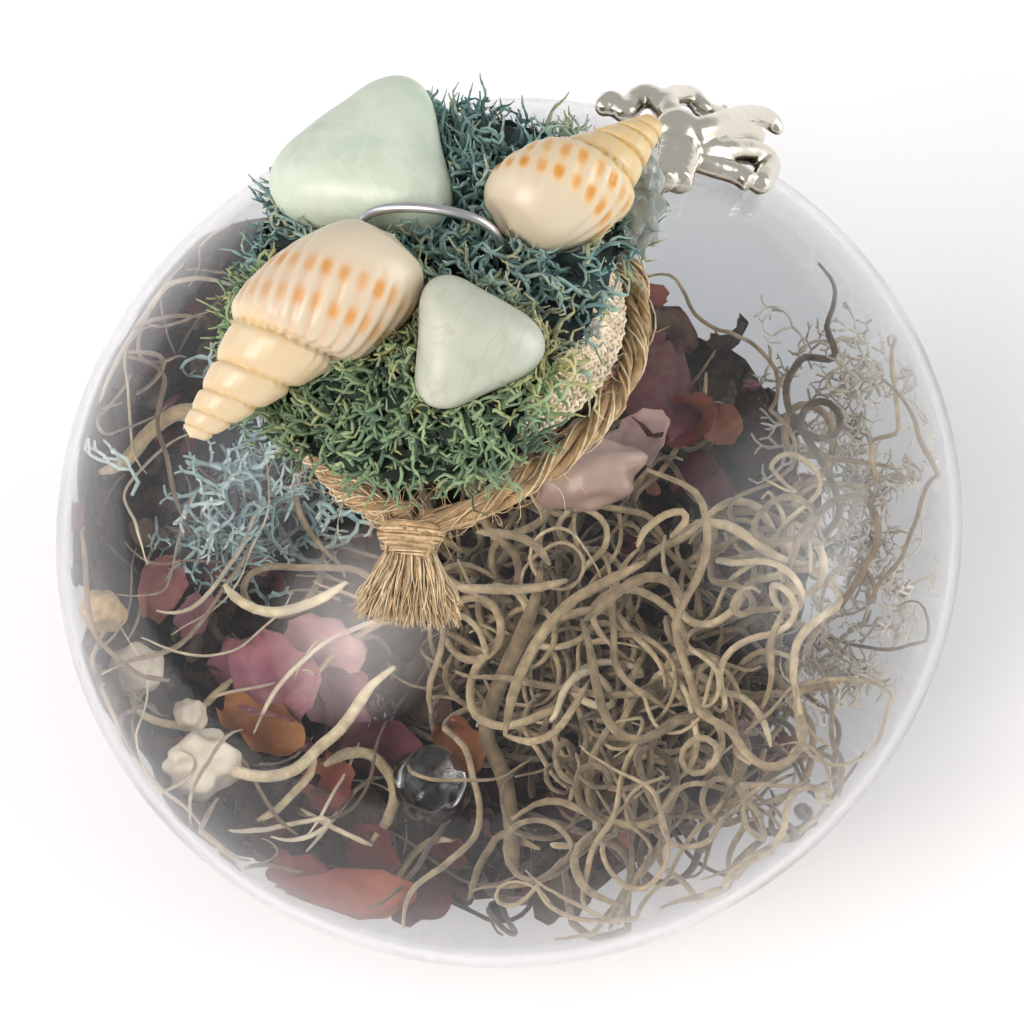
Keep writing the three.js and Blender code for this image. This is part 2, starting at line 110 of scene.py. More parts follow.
def new_piece(name, corners, faces, material, slot, *nodes, smooth=True):
    """A mesh piece from corners in millimetres. It rides on the body and replaces CAD nodes."""
    mesh = bpy.data.meshes.new(name)
    mesh.from_pydata([Vector(corner) * MM for corner in corners], [], faces)
    mesh.materials.append(material)
    mesh.shade_smooth() if smooth else mesh.shade_flat()
    piece = bpy.data.objects.new(name, mesh)
    bpy.context.collection.objects.link(piece)
    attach(piece, "root")
    if nodes:
        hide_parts(*nodes)
    return piece


def turned(profile, segments):
    """Corners and faces of a closed turned skin whose profile starts and ends on the axis."""
    corners = [(0, 0, profile[0][1])]
    for r, z in profile[1:-1]:
        for i in range(segments):
            turn = 2 * math.pi * i / segments
            corners.append((r * math.cos(turn), r * math.sin(turn), z))
    corners.append((0, 0, profile[-1][1]))
    faces = []
    rings = len(profile) - 2
    for i in range(segments):
        j = (i + 1) % segments
        faces.append((0, 1 + j, 1 + i))
        for ring in range(rings - 1):
            a = 1 + ring * segments
            faces.append((a + i, a + j, a + segments + j, a + segments + i))
        last = 1 + (rings - 1) * segments
        faces.append((last + i, last + j, len(corners) - 1))
    return corners, faces


def ball_profile(shrink, rings):
    """The ball's profile from the foot to the neck's root, moved inward by shrink."""
    radius, half = BALL_RADIUS - shrink, BALL_HALF_HEIGHT - shrink
    foot = math.asin(FOOT_RADIUS / BALL_RADIUS)
    shoulder = math.pi - math.asin((NECK_RADIUS + NECK_FILLET - shrink) / radius)
    points = []
    for i in range(rings + 1):
        a = mix(foot, shoulder, i / rings)
        points.append((radius * math.sin(a), BALL_MIDDLE - half * math.cos(a)))
    return points


neck_inside = NECK_RADIUS - GLASS_WALL
outer_wall = [(0, 0)] + ball_profile(0, 64)
outer_wall += [(NECK_RADIUS + NECK_FILLET * 0.3, NECK_ROOT + NECK_FILLET * 0.3)]
outer_wall += [(NECK_RADIUS, NECK_ROOT + NECK_FILLET), (NECK_RADIUS, NECK_RIM - 0.3)]
inner_wall = [(NECK_RADIUS - 0.3, NECK_RIM), (neck_inside + 0.3, NECK_RIM), (neck_inside, NECK_RIM - 0.3)]
inner_wall += [(neck_inside, NECK_ROOT)] + ball_profile(GLASS_WALL, 64)[::-1] + [(0, GLASS_WALL)]

clear_glass = new_material("clear soda-lime glass")
place = add_node(clear_glass, "TexCoord").outputs["Object"]
# Blown glass isn't quite even: waves about 14 mm long bend what lies behind it
waves = add_node(clear_glass, "TexNoise", {"Vector": place, "Scale": 70, "Detail": 1})
uneven = add_node(clear_glass, "Bump", {"Height": waves.outputs["Fac"], "Distance": 0.0001, "Strength": 0.3})
# The glass's pale grey colour is painted shade: it dims all that shows through it, standing in for the grey
# shadow under the ball
finish_material(clear_glass, {
    "Base Color": linear("#e9eaeb"), "Roughness": 0.0, "IOR": 1.5,
    "Transmission Weight": 1.0, "Normal": uneven.outputs[0],
    # A thin film of dust veils what is seen at a slant, and dulls what the glass mirrors
    "Sheen Weight": 0.05, "Sheen Roughness": 0.5, "Specular Tint": linear("#b4b4b4"),
})
glass = new_piece("blown_glass", *turned(outer_wall + inner_wall, 128), clear_glass, "glass", "glass_ball")
glass.visible_shadow = False


# The photograph's view: from 57.5 degrees above, turned 14.8 degrees, 400 mm from the middle of
# the ball. Pieces of the filling are placed by where they show in its 1024 pixels.

VIEW_RISE = math.radians(57.5)
VIEW_ROLL = math.radians(14.8)
VIEW_DISTANCE = 400
VIEW_SCALE = 4532
VIEW_CENTRE = (507.5, 526.5)
middle = Vector((0, 0, BALL_MIDDLE))
to_viewer = Vector((0, -math.cos(VIEW_RISE), math.sin(VIEW_RISE)))
level_up = Vector((0, math.sin(VIEW_RISE), math.cos(VIEW_RISE)))
level_right = Vector((1, 0, 0))
view_up = level_up * math.cos(VIEW_ROLL) + level_right * math.sin(VIEW_ROLL)
view_right = level_right * math.cos(VIEW_ROLL) - level_up * math.sin(VIEW_ROLL)
eye = middle + to_viewer * VIEW_DISTANCE


def sight(u, v):
    """The direction from the camera through a pixel of the photograph."""
    across = (u - VIEW_CENTRE[0]) / VIEW_SCALE
    up = (VIEW_CENTRE[1] - v) / VIEW_SCALE
    return (view_right * across + view_up * up - to_viewer).normalized()


def in_ball(u, v, lift, wall=1.6):
    """A place that shows at a pixel, lift mm nearer to the camera than the far wall."""
    direction = sight(u, v)
    radius, half = BALL_RADIUS - wall, BALL_HALF_HEIGHT - wall
    squash = Vector((1 / radius, 1 / radius, 1 / half))
    p = Vector([(eye - middle)[i] * squash[i] for i in range(3)])
    q = Vector([direction[i] * squash[i] for i in range(3)])
    a, b, c = q.dot(q), 2 * p.dot(q), p.dot(p) - 1
    rest = max(0, b * b - 4 * a * c)
    far = (-b + math.sqrt(rest)) / (2 * a)
    near = (-b - math.sqrt(rest)) / (2 * a)
    return eye + direction * max(near, far - lift)


def kept_inside(point, wall=1.6):
    """The point itself, or drawn in to the inside of the glass."""
    radius, half = BALL_RADIUS - wall, BALL_HALF_HEIGHT - wall
    offset = point - middle
    reach = math.sqrt((offset.x ** 2 + offset.y ** 2) / radius ** 2 + offset.z ** 2 / half ** 2)
    return point if reach <= 1 else middle + offset / reach


# Spanish moss: dried grey-brown strands about a millimetre thick, tangled in a loose heap that
# fills the lower half of the ball. Their scales give them a soft, pale, felted look.

def new_shape():
    return {"corners": [], "faces": [], "tints": []}


def add_tube(shape, path, radius, sides=5, tint=0.5, taper=0.4):
    """A round strand along a path. It thins at both ends, and carries one tint."""
    count = len(path)
    first = len(shape["corners"])
    side = None
    for i, point in enumerate(path):
        ahead = (path[min(i + 1, count - 1)] - path[max(i - 1, 0)]).normalized()
        if side is None:
            side = ahead.orthogonal().normalized()
        side = (side - ahead * side.dot(ahead)).normalized()
        other = ahead.cross(side)
        share = i / (count - 1)
        thick = radius(share) if callable(radius) else radius * mix(taper, 1,
                                                                    min(1, 6 * min(share, 1 - share)))
        for k in range(sides):
            turn = 2 * math.pi * k / sides
            shape["corners"].append(point + (side * math.cos(turn) + other * math.sin(turn)) * thick)
            shape["tints"].append(tint)
    for i in range(count - 1):
        for k in range(sides):
            a = first + i * sides + k
            b = first + i * sides + (k + 1) % sides
            shape["faces"].append((a, b, b + sides, a + sides))
    last = first + (count - 1) * sides
    shape["faces"].append([first + k for k in reversed(range(sides))])
    shape["faces"].append([last + k for k in range(sides)])


def tinted_piece(name, shape, material, slot, *nodes):
    """A piece whose corners carry the tint that its material reads."""
    piece = new_piece(name, shape["corners"], shape["faces"], material, slot, *nodes)
    tint = piece.data.attributes.new("tint", "FLOAT", "POINT")
    tint.data.foreach_set("value", shape["tints"])
    return piece


def wandering(rng, start, heading, length, step, bend, keep):
    """A curling path: its heading turns smoothly at random, and keep draws each point back."""
    path = [keep(start)]
    turn = Vector((rng.gauss(0, 1), rng.gauss(0, 1), rng.gauss(0, 1)))
    heading = heading.normalized()
    for _ in range(int(length / step)):
        turn = turn * 0.86 + Vector((rng.gauss(0, 1), rng.gauss(0, 1), rng.gauss(0, 1))) * 0.5
        heading = (heading + heading.cross(turn) * bend * step).normalized()
        wanted = path[-1] + heading * step
        held = keep(wanted)
        if (held - wanted).length > 0.01:
            heading = (heading + (held - wanted) * 0.5).normalized()
        path.append(held)
    return path


def two_colours(name, stops, roughness, grain_mm, grain, bump_mm=0.05, sheen=0.0, extra=None):
    """A material whose colour runs through the stops by tint and by a fine grain."""
    material = new_material(name)
    place = add_node(material, "TexCoord").outputs["Object"]
    tint = add_node(material, "Attribute", attribute_name="tint").outputs["Fac"]
    speck = add_node(material, "TexNoise", {"Vector": place, "Scale": 1 / (grain_mm * MM), "Detail": 3})
    off = add_node(material, "Math", {0: speck.outputs["Fac"], 1: 0.5}, operation="SUBTRACT").outputs[0]
    level = add_node(material, "Math", {0: off, 1: grain, 2: tint}, operation="MULTIPLY_ADD").outputs[0]
    colours = add_node(material, "ValToRGB", {"Fac": level})
    elements = colours.color_ramp.elements
    while len(elements) < len(stops):
        elements.new(0.5)
    for element, (position, colour) in zip(elements, stops):
        element.position = position
        element.color = linear(colour)
    bumps = add_node(material, "Bump", {"Height": speck.outputs["Fac"], "Distance": bump_mm * MM,
                                        "Strength": 0.6})
    patches = add_node(material, "TexNoise", {"Vector": place, "Scale": 0.4 / (grain_mm * MM), "Detail": 4})
    worn = add_node(material, "MapRange", {
        "Value": patches.outputs["Fac"], "From Min": 0.3, "From Max": 0.7, "To Min": 0.7, "To Max": 1.2,
    })
    mottled = add_node(material, "HueSaturation",
                       {"Color": colours.outputs["Color"], "Value": worn.outputs[0]})
    surface = {
        "Base Color": mottled.outputs["Color"], "Roughness": roughness,
        "Sheen Weight": sheen, "Normal": bumps.outputs[0],
    }
    surface.update(extra or {})
    return finish_material(material, surface)


spanish_moss = two_colours(
    "dried Spanish moss",
    [(0.0, "#231c16"), (0.3, "#5c4f3d"), (0.55, "#8c7a5d"), (0.8, "#b9a681"), (1.0, "#ddcfaf")],
    0.9, 0.9, 0.5, sheen=0.3,
)


def in_heap(low, high):
    """Keeps a strand in the heap: between two lifts over the far wall, as the camera sees it."""
    def keep(point):
        point = kept_inside(point)
        offset = point - eye
        depth = -offset.dot(to_viewer)
        u = VIEW_CENTRE[0] + VIEW_SCALE * offset.dot(view_right) / depth
        v = VIEW_CENTRE[1] - VIEW_SCALE * offset.dot(view_up) / depth
        floor_place, top_place = in_ball(u, v, low), in_ball(u, v, high)
        if (point - eye).length > (floor_place - eye).length:
            return kept_inside(floor_place)
        if (point - eye).length < (top_place - eye).length:
            return kept_inside(top_place)
        return point
    return keep


rng = random.Random(7)
tangle = new_shape()
for i in range(190):
    lift = rng.uniform(5, 23)
    u = rng.triangular(420, 850, 610)
    v = rng.triangular(470, 850, 640)
    start = in_ball(u, v, lift)
    heading = Vector((rng.uniform(-1, 1), rng.uniform(-1, 1), rng.uniform(-0.3, 0.3)))
    path = wandering(rng, start, heading, rng.uniform(20, 60), 0.9, 0.24,
                     in_heap(max(0.3, lift - 4), lift + 3))
    # Strands deeper in the heap get darker tints: painted shade
    shade = min(1, max(0, 0.1 + lift / 38 + rng.gauss(0, 0.14)))
    add_tube(tangle, path, rng.uniform(0.18, 0.42), tint=shade)
tinted_piece("spanish_moss", tangle, spanish_moss, "green_moss")


def smooth_path(knots, step):
    """A smooth path through places, in steps of about a length."""
    path = []
    for i in range(len(knots) - 1):
        before, a = knots[max(i - 1, 0)], knots[i]
        b, after = knots[i + 1], knots[min(i + 2, len(knots) - 1)]
        steps = max(2, int((b - a).length / step))
        for k in range(steps):
            t = k / steps
            path.append(
                a * (2 * t ** 3 - 3 * t ** 2 + 1) + b * (3 * t ** 2 - 2 * t ** 3)
                + (b - before) * 0.5 * (t ** 3 - 2 * t ** 2 + t) + (after - a) * 0.5 * (t ** 3 - t ** 2)
            )
    return path + [knots[-1]]


def along_pixels(marks, step=1.0):
    """A smooth path through marks, each a pixel of the photograph and a lift over the far wall."""
    return [kept_inside(p) for p in smooth_path([in_ball(u, v, lift) for u, v, lift in marks], step)]


def row(marks, low, high):
    """Marks from (u, v) pixels, with the lift running from low to high along them."""
    last = len(marks) - 1
    return [(u, v, mix(low, high, i / last)) for i, (u, v) in enumerate(marks)]


# The strands that stand out most, each from where it shows: (pixels, lifts, radius, tint)
LOOSE_STRANDS = [
    ([(647, 470), (695, 492), (707, 530), (702, 567), (685, 600), (675, 625), (682, 655), (692, 685),
      (700, 712), (730, 730), (745, 752), (765, 766), (787, 762), (802, 742), (802, 717), (787, 700)],
     30, 16, 0.55, 0.66),
    ([(707, 710), (717, 695), (735, 695), (752, 705), (765, 725), (771, 747)], 20, 17, 0.45, 0.9),
    ([(645, 562), (600, 585), (565, 607), (532, 650), (512, 697), (505, 735)], 30, 27, 0.7, 0.62),
    ([(540, 572), (535, 600), (522, 635), (505, 672), (490, 710), (487, 740), (502, 772), (510, 810),
      (515, 870)], 28, 14, 1.1, 0.5),
    ([(455, 587), (505, 590), (542, 587), (567, 580)], 30, 28, 0.6, 0.72),
    ([(582, 620), (590, 650), (600, 700), (615, 730), (642, 740), (680, 720), (700, 715)], 28, 22, 0.6, 0.5),
    ([(505, 735), (530, 742), (555, 732), (575, 705), (590, 680)], 26, 26, 0.5, 0.68),
    ([(512, 820), (535, 805), (560, 802), (592, 815), (625, 825), (655, 822), (675, 795), (677, 760)],
     18, 18, 0.5, 0.66),
    ([(570, 800), (580, 780), (605, 765), (635, 757), (680, 752)], 20, 18, 0.55, 0.66),
    ([(680, 817), (717, 810), (750, 795), (780, 772), (830, 747)], 12, 7, 0.6, 0.6),
    ([(787, 700), (805, 690), (830, 687), (850, 680)], 14, 8, 0.6, 0.56),
    ([(585, 620), (620, 590), (647, 577), (670, 582), (682, 600)], 30, 28, 0.7, 0.48),
    ([(637, 547), (645, 530), (665, 515), (682, 512), (685, 522), (670, 537)], 31, 29, 0.5, 0.75),
    ([(695, 522), (725, 525), (755, 542), (780, 560), (805, 565)], 24, 18, 0.7, 0.85),
    ([(477, 532), (512, 535), (535, 545), (550, 565)], 33, 30, 0.55, 0.6),
    ([(225, 585), (235, 597), (255, 609), (277, 612), (300, 607), (325, 597), (347, 582)], 22, 27, 0.65,
     0.93),
    ([(395, 667), (372, 685), (357, 707), (340, 730), (320, 747), (295, 770), (265, 777), (235, 772),
      (210, 760), (195, 750)], 25, 12, 0.75, 0.9),
    ([(315, 755), (310, 775), (292, 795), (275, 812), (257, 822)], 18, 9, 0.55, 0.85),
    ([(325, 765), (347, 754), (370, 755), (387, 772), (395, 795), (387, 822), (372, 842)], 18, 12, 0.75,
     0.78),
    ([(300, 810), (325, 825), (350, 837), (372, 847)], 11, 12, 0.35, 0.95),
    ([(200, 710), (215, 695), (232, 680)], 12, 16, 0.5, 0.75),
    ([(130, 690), (135, 710), (155, 722), (180, 727), (200, 732)], 7, 11, 0.5, 0.7),
    ([(395, 885), (410, 860), (430, 842), (452, 842)], 8, 13, 0.45, 0.7),
    ([(100, 472), (125, 462), (145, 437), (165, 420), (182, 412), (205, 408)], 8, 22, 1.0, 0.72),
    ([(610, 930), (625, 895), (652, 862), (668, 830), (672, 800)], 5, 14, 0.5, 0.62),
    ([(470, 900), (478, 870), (490, 850), (503, 835), (540, 850)], 10, 15, 0.5, 0.6),
]

loose = new_shape()
for marks, low, high, radius, tint in LOOSE_STRANDS:
    add_tube(loose, along_pixels(row(marks, low, high)), radius * 0.7, sides=8, tint=tint)
# Scales stand out of each strand as a short pale fuzz
for marks, low, high, radius, tint in LOOSE_STRANDS:
    for point in along_pixels(row(marks, low, high), 0.5):
        for _ in range(3):
            out = Vector((rng.gauss(0, 1), rng.gauss(0, 1), rng.gauss(0, 1))).normalized()
            far = kept_inside(point + out * (radius * 0.7 + rng.uniform(0.1, 0.3)), 1.2)
            hair = [point + out * radius * 0.5, far]
            add_tube(loose, hair, 0.035, sides=3, tint=min(1, tint + 0.12))
tinted_piece("loose_moss_strands", loose, spanish_moss, "green_moss")


# Dried leaf crumbs: the dark bed that the moss and petals lie on, crushed leaves and bark that are
# almost black, partly their own colour and partly painted shade for the deep gaps of the heap. It lines
# the side of the ball that is away from the camera.

FILLED = [
    (72, 560), (80, 430), (122, 330), (185, 250), (250, 205), (480, 190), (640, 290), (740, 350),
    (800, 440), (790, 560), (800, 690), (760, 785), (700, 818), (640, 870), (560, 905), (440, 905),
    (330, 898), (220, 850), (130, 765), (84, 680),
]


def edge_distance(u, v, outline):
    """How far inside an outline a pixel is; negative outside."""
    inside = False
    nearest = 1e9
    for i in range(len(outline)):
        (u0, v0), (u1, v1) = outline[i - 1], outline[i]
        if (v0 > v) != (v1 > v) and u < (u1 - u0) * (v - v0) / (v1 - v0) + u0:
            inside = not inside
        du, dv = u1 - u0, v1 - v0
        t = min(1, max(0, ((u - u0) * du + (v - v0) * dv) / (du * du + dv * dv)))
        nearest = min(nearest, math.hypot(u - u0 - t * du, v - v0 - t * dv))
    return nearest if inside else -nearest


def bed_lift(u, v):
    """How thick the bed is under a pixel, in mm."""
    edge = ramp(edge_distance(u, v, FILLED), 0, 110)
    lumps = noise.noise(Vector((u / 38, v / 38, 2))) + 0.6 * noise.noise(Vector((u / 14, v / 14, 5)))
    return max(0.2, edge * (8 + 4 * lumps))


crumbs = new_material("crushed dried leaves in painted shade")
place = add_node(crumbs, "TexCoord").outputs["Object"]
# Pieces of leaf about 3 mm across, each of one colour, with crumbs a third of a millimetre across
bent_place = add_node(crumbs, "TexNoise", {"Vector": place, "Scale": 300, "Detail": 2}).outputs["Color"]
ragged = add_node(crumbs, "VectorMath", {0: bent_place, 1: (0.002, 0.002, 0.002), 2: place},
                  operation="MULTIPLY_ADD")
leaves = add_node(crumbs, "TexVoronoi", {"Vector": ragged.outputs[0], "Scale": 330})
pick = add_node(crumbs, "SeparateColor", {0: leaves.outputs["Color"]})
brown = add_node(crumbs, "ValToRGB", {"Fac": pick.outputs[0]})
stops = brown.color_ramp.elements
for _ in range(4):
    stops.new(0.5)
# The darkest stops are painted shade as well as dark leaf
for stop, (position, colour) in zip(stops, [(0, "#1c1613"), (0.25, "#3a2f29"), (0.45, "#55483d"),
                                            (0.62, "#4a2a2e"),
                                            (0.8, "#6a625c"), (1, "#8a7a66")]):
    stop.position = position
    stop.color = linear(colour)
bits = add_node(crumbs, "TexNoise", {"Vector": place, "Scale": 1400, "Detail": 4})
worn = add_node(crumbs, "MapRange", {"Value": bits.outputs["Fac"], "From Min": 0.3, "From Max": 0.7,
                                     "To Min": 0.3})
dark = add_node(crumbs, "HueSaturation", {"Color": brown.outputs["Color"], "Value": worn.outputs[0]})
rough = add_node(crumbs, "Bump", {"Height": leaves.outputs["Distance"], "Distance": 0.0012, "Strength": 0.9})
finish_material(crumbs, {"Base Color": dark.outputs["Color"], "Roughness": 0.9, "Normal": rough.outputs[0]})

BED_MIDDLE = (470, 560)
BED_RAYS = 120
BED_RINGS = 40


def bed_edge(turn):
    """How far the bed reaches from its middle in a direction, in pixels."""
    low, high = 0, 700
    while high - low > 1:
        reach = (low + high) / 2
        u, v = BED_MIDDLE[0] + reach * math.cos(turn), BED_MIDDLE[1] + reach * math.sin(turn)
        low, high = (reach, high) if edge_distance(u, v, FILLED) > 0 else (low, reach)
    return low * (1 + 0.05 * noise.noise(Vector((5 * math.cos(turn), 5 * math.sin(turn), 1))))


bed = new_shape()
for i in range(BED_RAYS):
    turn = 2 * math.pi * i / BED_RAYS
    edge = bed_edge(turn)
    for k in range(1, BED_RINGS + 1):
        reach = edge * k / BED_RINGS
        u, v = BED_MIDDLE[0] + reach * math.cos(turn), BED_MIDDLE[1] + reach * math.sin(turn)
        bed["corners"] += [in_ball(u, v, 0), in_ball(u, v, bed_lift(u, v))]
bed["corners"] += [in_ball(*BED_MIDDLE, 0), in_ball(*BED_MIDDLE, bed_lift(*BED_MIDDLE))]
hub = len(bed["corners"]) - 2
for i in range(BED_RAYS):
    a, b = i * BED_RINGS * 2, (i + 1) % BED_RAYS * BED_RINGS * 2
    bed["faces"] += [(hub, a, b), (hub + 1, b + 1, a + 1)]
    for k in range(0, BED_RINGS * 2 - 2, 2):
        bed["faces"] += [(a + k, a + k + 2, b + k + 2, b + k), (a + k + 1, b + k + 1, b + k + 3, a + k + 3)]
    outer = BED_RINGS * 2 - 2
    bed["faces"].append((a + outer, a + outer + 1, b + outer + 1, b + outer))
new_piece("shaded_leaf_bed", bed["corners"], bed["faces"], crumbs, "green_moss")


# Petals and leaves: air-dried rose and other petals, dusty pink, burgundy, rust and orange-tan,
# thin, curled and cupped, some near black. They lie on the bed, the larger ones towards the left.

PETAL_THICKNESS = 0.16


def add_flake(shape, centre, facing, along, length, width, curl, cup, tint, rows=10, columns=8):
    """A curled petal: round in plan, cupped across, curled along, with a ruffled edge."""
    facing = facing.normalized()
    along = (along - facing * along.dot(facing)).normalized()
    across = facing.cross(along)
    phase = rng.uniform(0, 6.28)
    first = len(shape["corners"])
    layer = rows * columns
    for side in (1, -1):
        for i in range(rows):
            s = i / (rows - 1)
            half = width / 2 * math.sin(math.pi * mix(0.06, 0.94, s)) ** 0.6
            half *= 1 + 0.5 * noise.noise(Vector((4 * s, phase, 0)))
            bend = curl * (s - 0.5)
            for j in range(columns):
                t = 2 * j / (columns - 1) - 1
                ruffle = 0.07 * width * math.sin(8 * s + 4 * t + phase) * (0.3 + abs(t))
                ruffle += 0.22 * width * noise.noise(Vector((2.5 * s, 1.6 * t, phase)))
                rise = length * (1 - math.cos(bend)) / curl + cup * width * t * t + ruffle
                corner = centre + along * (length * math.sin(bend) / curl) + across * (t * half)
                corner += facing * (rise + side * PETAL_THICKNESS / 2)
                shape["corners"].append(kept_inside(corner, 1.3 + 0.1 * side))
                shape["tints"].append(tint + 0.03 * math.sin(3 * s + phase))
    for i in range(rows - 1):
        for j in range(columns - 1):
            a = first + i * columns + j
            ring = (a, a + columns, a + columns + 1, a + 1)
            shape["faces"] += [ring, tuple(k + layer for k in reversed(ring))]
    rim = [first + j for j in range(columns)]
    rim += [first + i * columns + columns - 1 for i in range(1, rows)]
    rim += [first + (rows - 1) * columns + j for j in reversed(range(columns - 1))]
    rim += [first + i * columns for i in reversed(range(1, rows - 1))]
    for a, b in zip(rim, rim[1:] + rim[:1]):
        shape["faces"].append((b, a, a + layer, b + layer))


dried_petals = two_colours(
    "dried petals",
    [(0.0, "#1f1814"), (0.12, "#43342a"), (0.2, "#6b5a48"), (0.3, "#54202b"), (0.42, "#83443a"),
     (0.58, "#a3713f"), (0.76, "#9c6672"), (1.0, "#c7b3a8")],
    0.75, 0.9, 0.1, bump_mm=0.15,
)

# (u, v, lift, length, width, direction in the picture in degrees, curl, cup, tint)
PETALS = [
    (275, 685, 17, 9.0, 7.0, -60, 0.8, 0.15, 0.76), (240, 665, 14, 6.0, 5.0, 40, 1.2, -0.2, 0.74),
    (267, 735, 14, 9.5, 4.6, -33, 1.5, 0.35, 0.58), (330, 790, 13, 6.0, 4.8, -70, 1.0, 0.2, 0.43),
    (382, 750, 15, 7.5, 4.5, -10, 0.8, 0.2, 0.28), (347, 897, 6, 13, 4.6, 5, 0.7, 0.15, 0.42),
    (300, 880, 5, 7.0, 4.5, -20, 1.0, -0.2, 0.36), (380, 852, 10, 5.0, 5.0, 50, 1.3, 0.2, 0.33),
    (420, 905, 6, 6.0, 4.0, 20, 1.0, 0.2, 0.3), (160, 585, 10, 6.5, 4.2, 70, 1.0, 0.2, 0.68),
    (188, 622, 10, 5.0, 3.4, 60, 1.4, 0.3, 0.78), (664, 395, 21, 9.5, 6.5, 75, 0.8, -0.15, 0.3),
    (690, 420, 19, 6.0, 5.0, 20, 1.2, 0.2, 0.42), (720, 420, 17, 5.0, 4.2, -20, 1.2, 0.2, 0.66),
    (640, 440, 24, 7.0, 4.6, 30, 0.9, 0.1, 0.9), (330, 640, 19, 8.0, 5.0, -20, 1.0, 0.2, 0.85),
    (460, 750, 17, 6.0, 4.0, -60, 1.6, 0.4, 0.5), (345, 700, 15, 7.0, 5.5, -50, 0.9, 0.2, 0.82),
    (560, 905, 6, 6.0, 4.0, 30, 1.0, 0.2, 0.12), (430, 690, 16, 8.0, 5.0, 80, 0.9, 0.2, 0.2),
]
petals = new_shape()
for u, v, lift, length, width, degrees, curl, cup, tint in PETALS:
    turn = math.radians(degrees)
    along = view_right * math.cos(turn) + view_up * math.sin(turn)
    lean = Vector((rng.uniform(-0.5, 0.5), rng.uniform(-0.5, 0.5), 0))
    add_flake(petals, in_ball(u, v, lift), to_viewer + lean, along, length, width, curl, cup, tint)
for _ in range(780):
    u, v = rng.uniform(70, 870), rng.uniform(220, 930)
    if edge_distance(u, v, FILLED) < rng.uniform(-16, 12):
        continue
    tint = rng.choice([0.0, 0.04, 0.08, 0.1, 0.12, 0.16, 0.2, 0.24, 0.28, 0.34, 0.44, 0.66, 0.76])
    pressed = rng.random() < 0.45
    centre = in_ball(u, v, 0.3 if pressed else bed_lift(u, v) + rng.uniform(0, 3.5))
    facing = middle - centre if pressed else to_viewer
    facing = facing.normalized() + Vector((rng.gauss(0, 0.5), rng.gauss(0, 0.5), rng.gauss(0, 0.5)))
    along = Vector((rng.gauss(0, 1), rng.gauss(0, 1), rng.gauss(0, 1)))
    size = rng.uniform(2.2, 6)
    add_flake(petals, centre, facing, along, size, size * rng.uniform(0.4, 0.9), rng.uniform(0.6, 1.8),
              rng.uniform(-0.3, 0.4), tint, rows=6, columns=5)
tinted_piece("dried_petals", petals, dried_petals, "green_moss")


# Bleached lichen: pale tufts pressed against the glass, teal-white at the left and grey-beige and
# lacy at the right, with thin dry stems among them.

def add_tuft(shape, root, heading, length, radius, tint, forks, keep):
    """A branch that splits in two, then again, with short curled tips."""
    path = wandering(rng, root, heading, length, length / 2, 0.6, keep)
    add_tube(shape, path, radius, sides=4 if forks else 3, tint=tint, taper=0.75)
    if forks == 0:
        return
    ahead = (path[-1] - path[-2]).normalized()
    across = ahead.cross(Vector((rng.gauss(0, 1), rng.gauss(0, 1), rng.gauss(0, 1)))).normalized()
    for side in (-1, 1):
        turned_to = ahead + across * side * rng.uniform(0.6, 1.3)
        add_tuft(shape, path[-1], turned_to, length * rng.uniform(0.6, 0.95), radius * 0.88,
                    min(1, tint + rng.uniform(0.02, 0.14)), forks - 1, keep)


lichen = new_shape()
for _ in range(85):
    u, v = rng.gauss(245, 45), rng.gauss(490, 50)
    root = in_ball(u, v, rng.uniform(9, 19))
    heading = Vector((rng.gauss(0, 1), rng.gauss(0, 1), rng.gauss(0, 1)))
    add_tuft(lichen, root, heading, rng.uniform(1.4, 2.6), rng.uniform(0.16, 0.28),
                rng.uniform(0.2, 0.6), 3, kept_inside)
tinted_piece("teal_lichen", lichen, two_colours(
    "bleached teal lichen", [(0.0, "#5d7f80"), (0.5, "#9fbdb9"), (1.0, "#d3ddd4")], 0.9, 2.5, 0.5, sheen=0.3,
), "green_moss")
lichen = new_shape()
for _ in range(150):
    v = rng.uniform(340, 720)
    u = 835 + 35 * math.sin((v - 340) / 380 * math.pi) + rng.gauss(0, 30)
    root = in_ball(u, v, rng.uniform(0.5, 7))
    heading = Vector((rng.gauss(0, 1), rng.gauss(0, 1), rng.gauss(0, 1)))
    add_tuft(lichen, root, heading, rng.uniform(1.2, 2.6), rng.uniform(0.12, 0.24),
                rng.uniform(0.1, 0.6), 3, kept_inside)
tinted_piece("beige_lichen", lichen, two_colours(
    "bleached beige lichen", [(0.0, "#9a8f7f"), (0.5, "#c2b8a6"),
                              (1.0, "#e4ddcf")], 0.9, 2.5, 0.5, sheen=0.3,
), "green_moss")
stems = new_shape()
for _ in range(90):
    u, v = rng.uniform(80, 420), rng.uniform(240, 880)
    lift = rng.uniform(6, 17)
    heading = Vector((rng.uniform(-1, 1), rng.uniform(-1, 1), rng.uniform(-0.4, 0.4)))
    path = wandering(rng, in_ball(u, v, lift), heading, rng.uniform(6, 24), 0.8, 0.14,
                     in_heap(max(0.3, lift - 4), lift + 4))
    add_tube(stems, path, rng.uniform(0.08, 0.26), sides=4, tint=rng.uniform(0.1, 1))
tinted_piece("dry_stems", stems, two_colours(
    "dried stems", [(0.0, "#4a3a2c"), (0.5, "#97826a"), (1.0, "#d9cbb0")], 0.85, 1.2, 0.5, sheen=0.2,
), "green_moss")


# Pebbles and a bud: small white shells and pebbles, a clear quartz chip, a clear glass bead and
# a round tan bud. Tumbled or broken, they lie in the bed at the left.

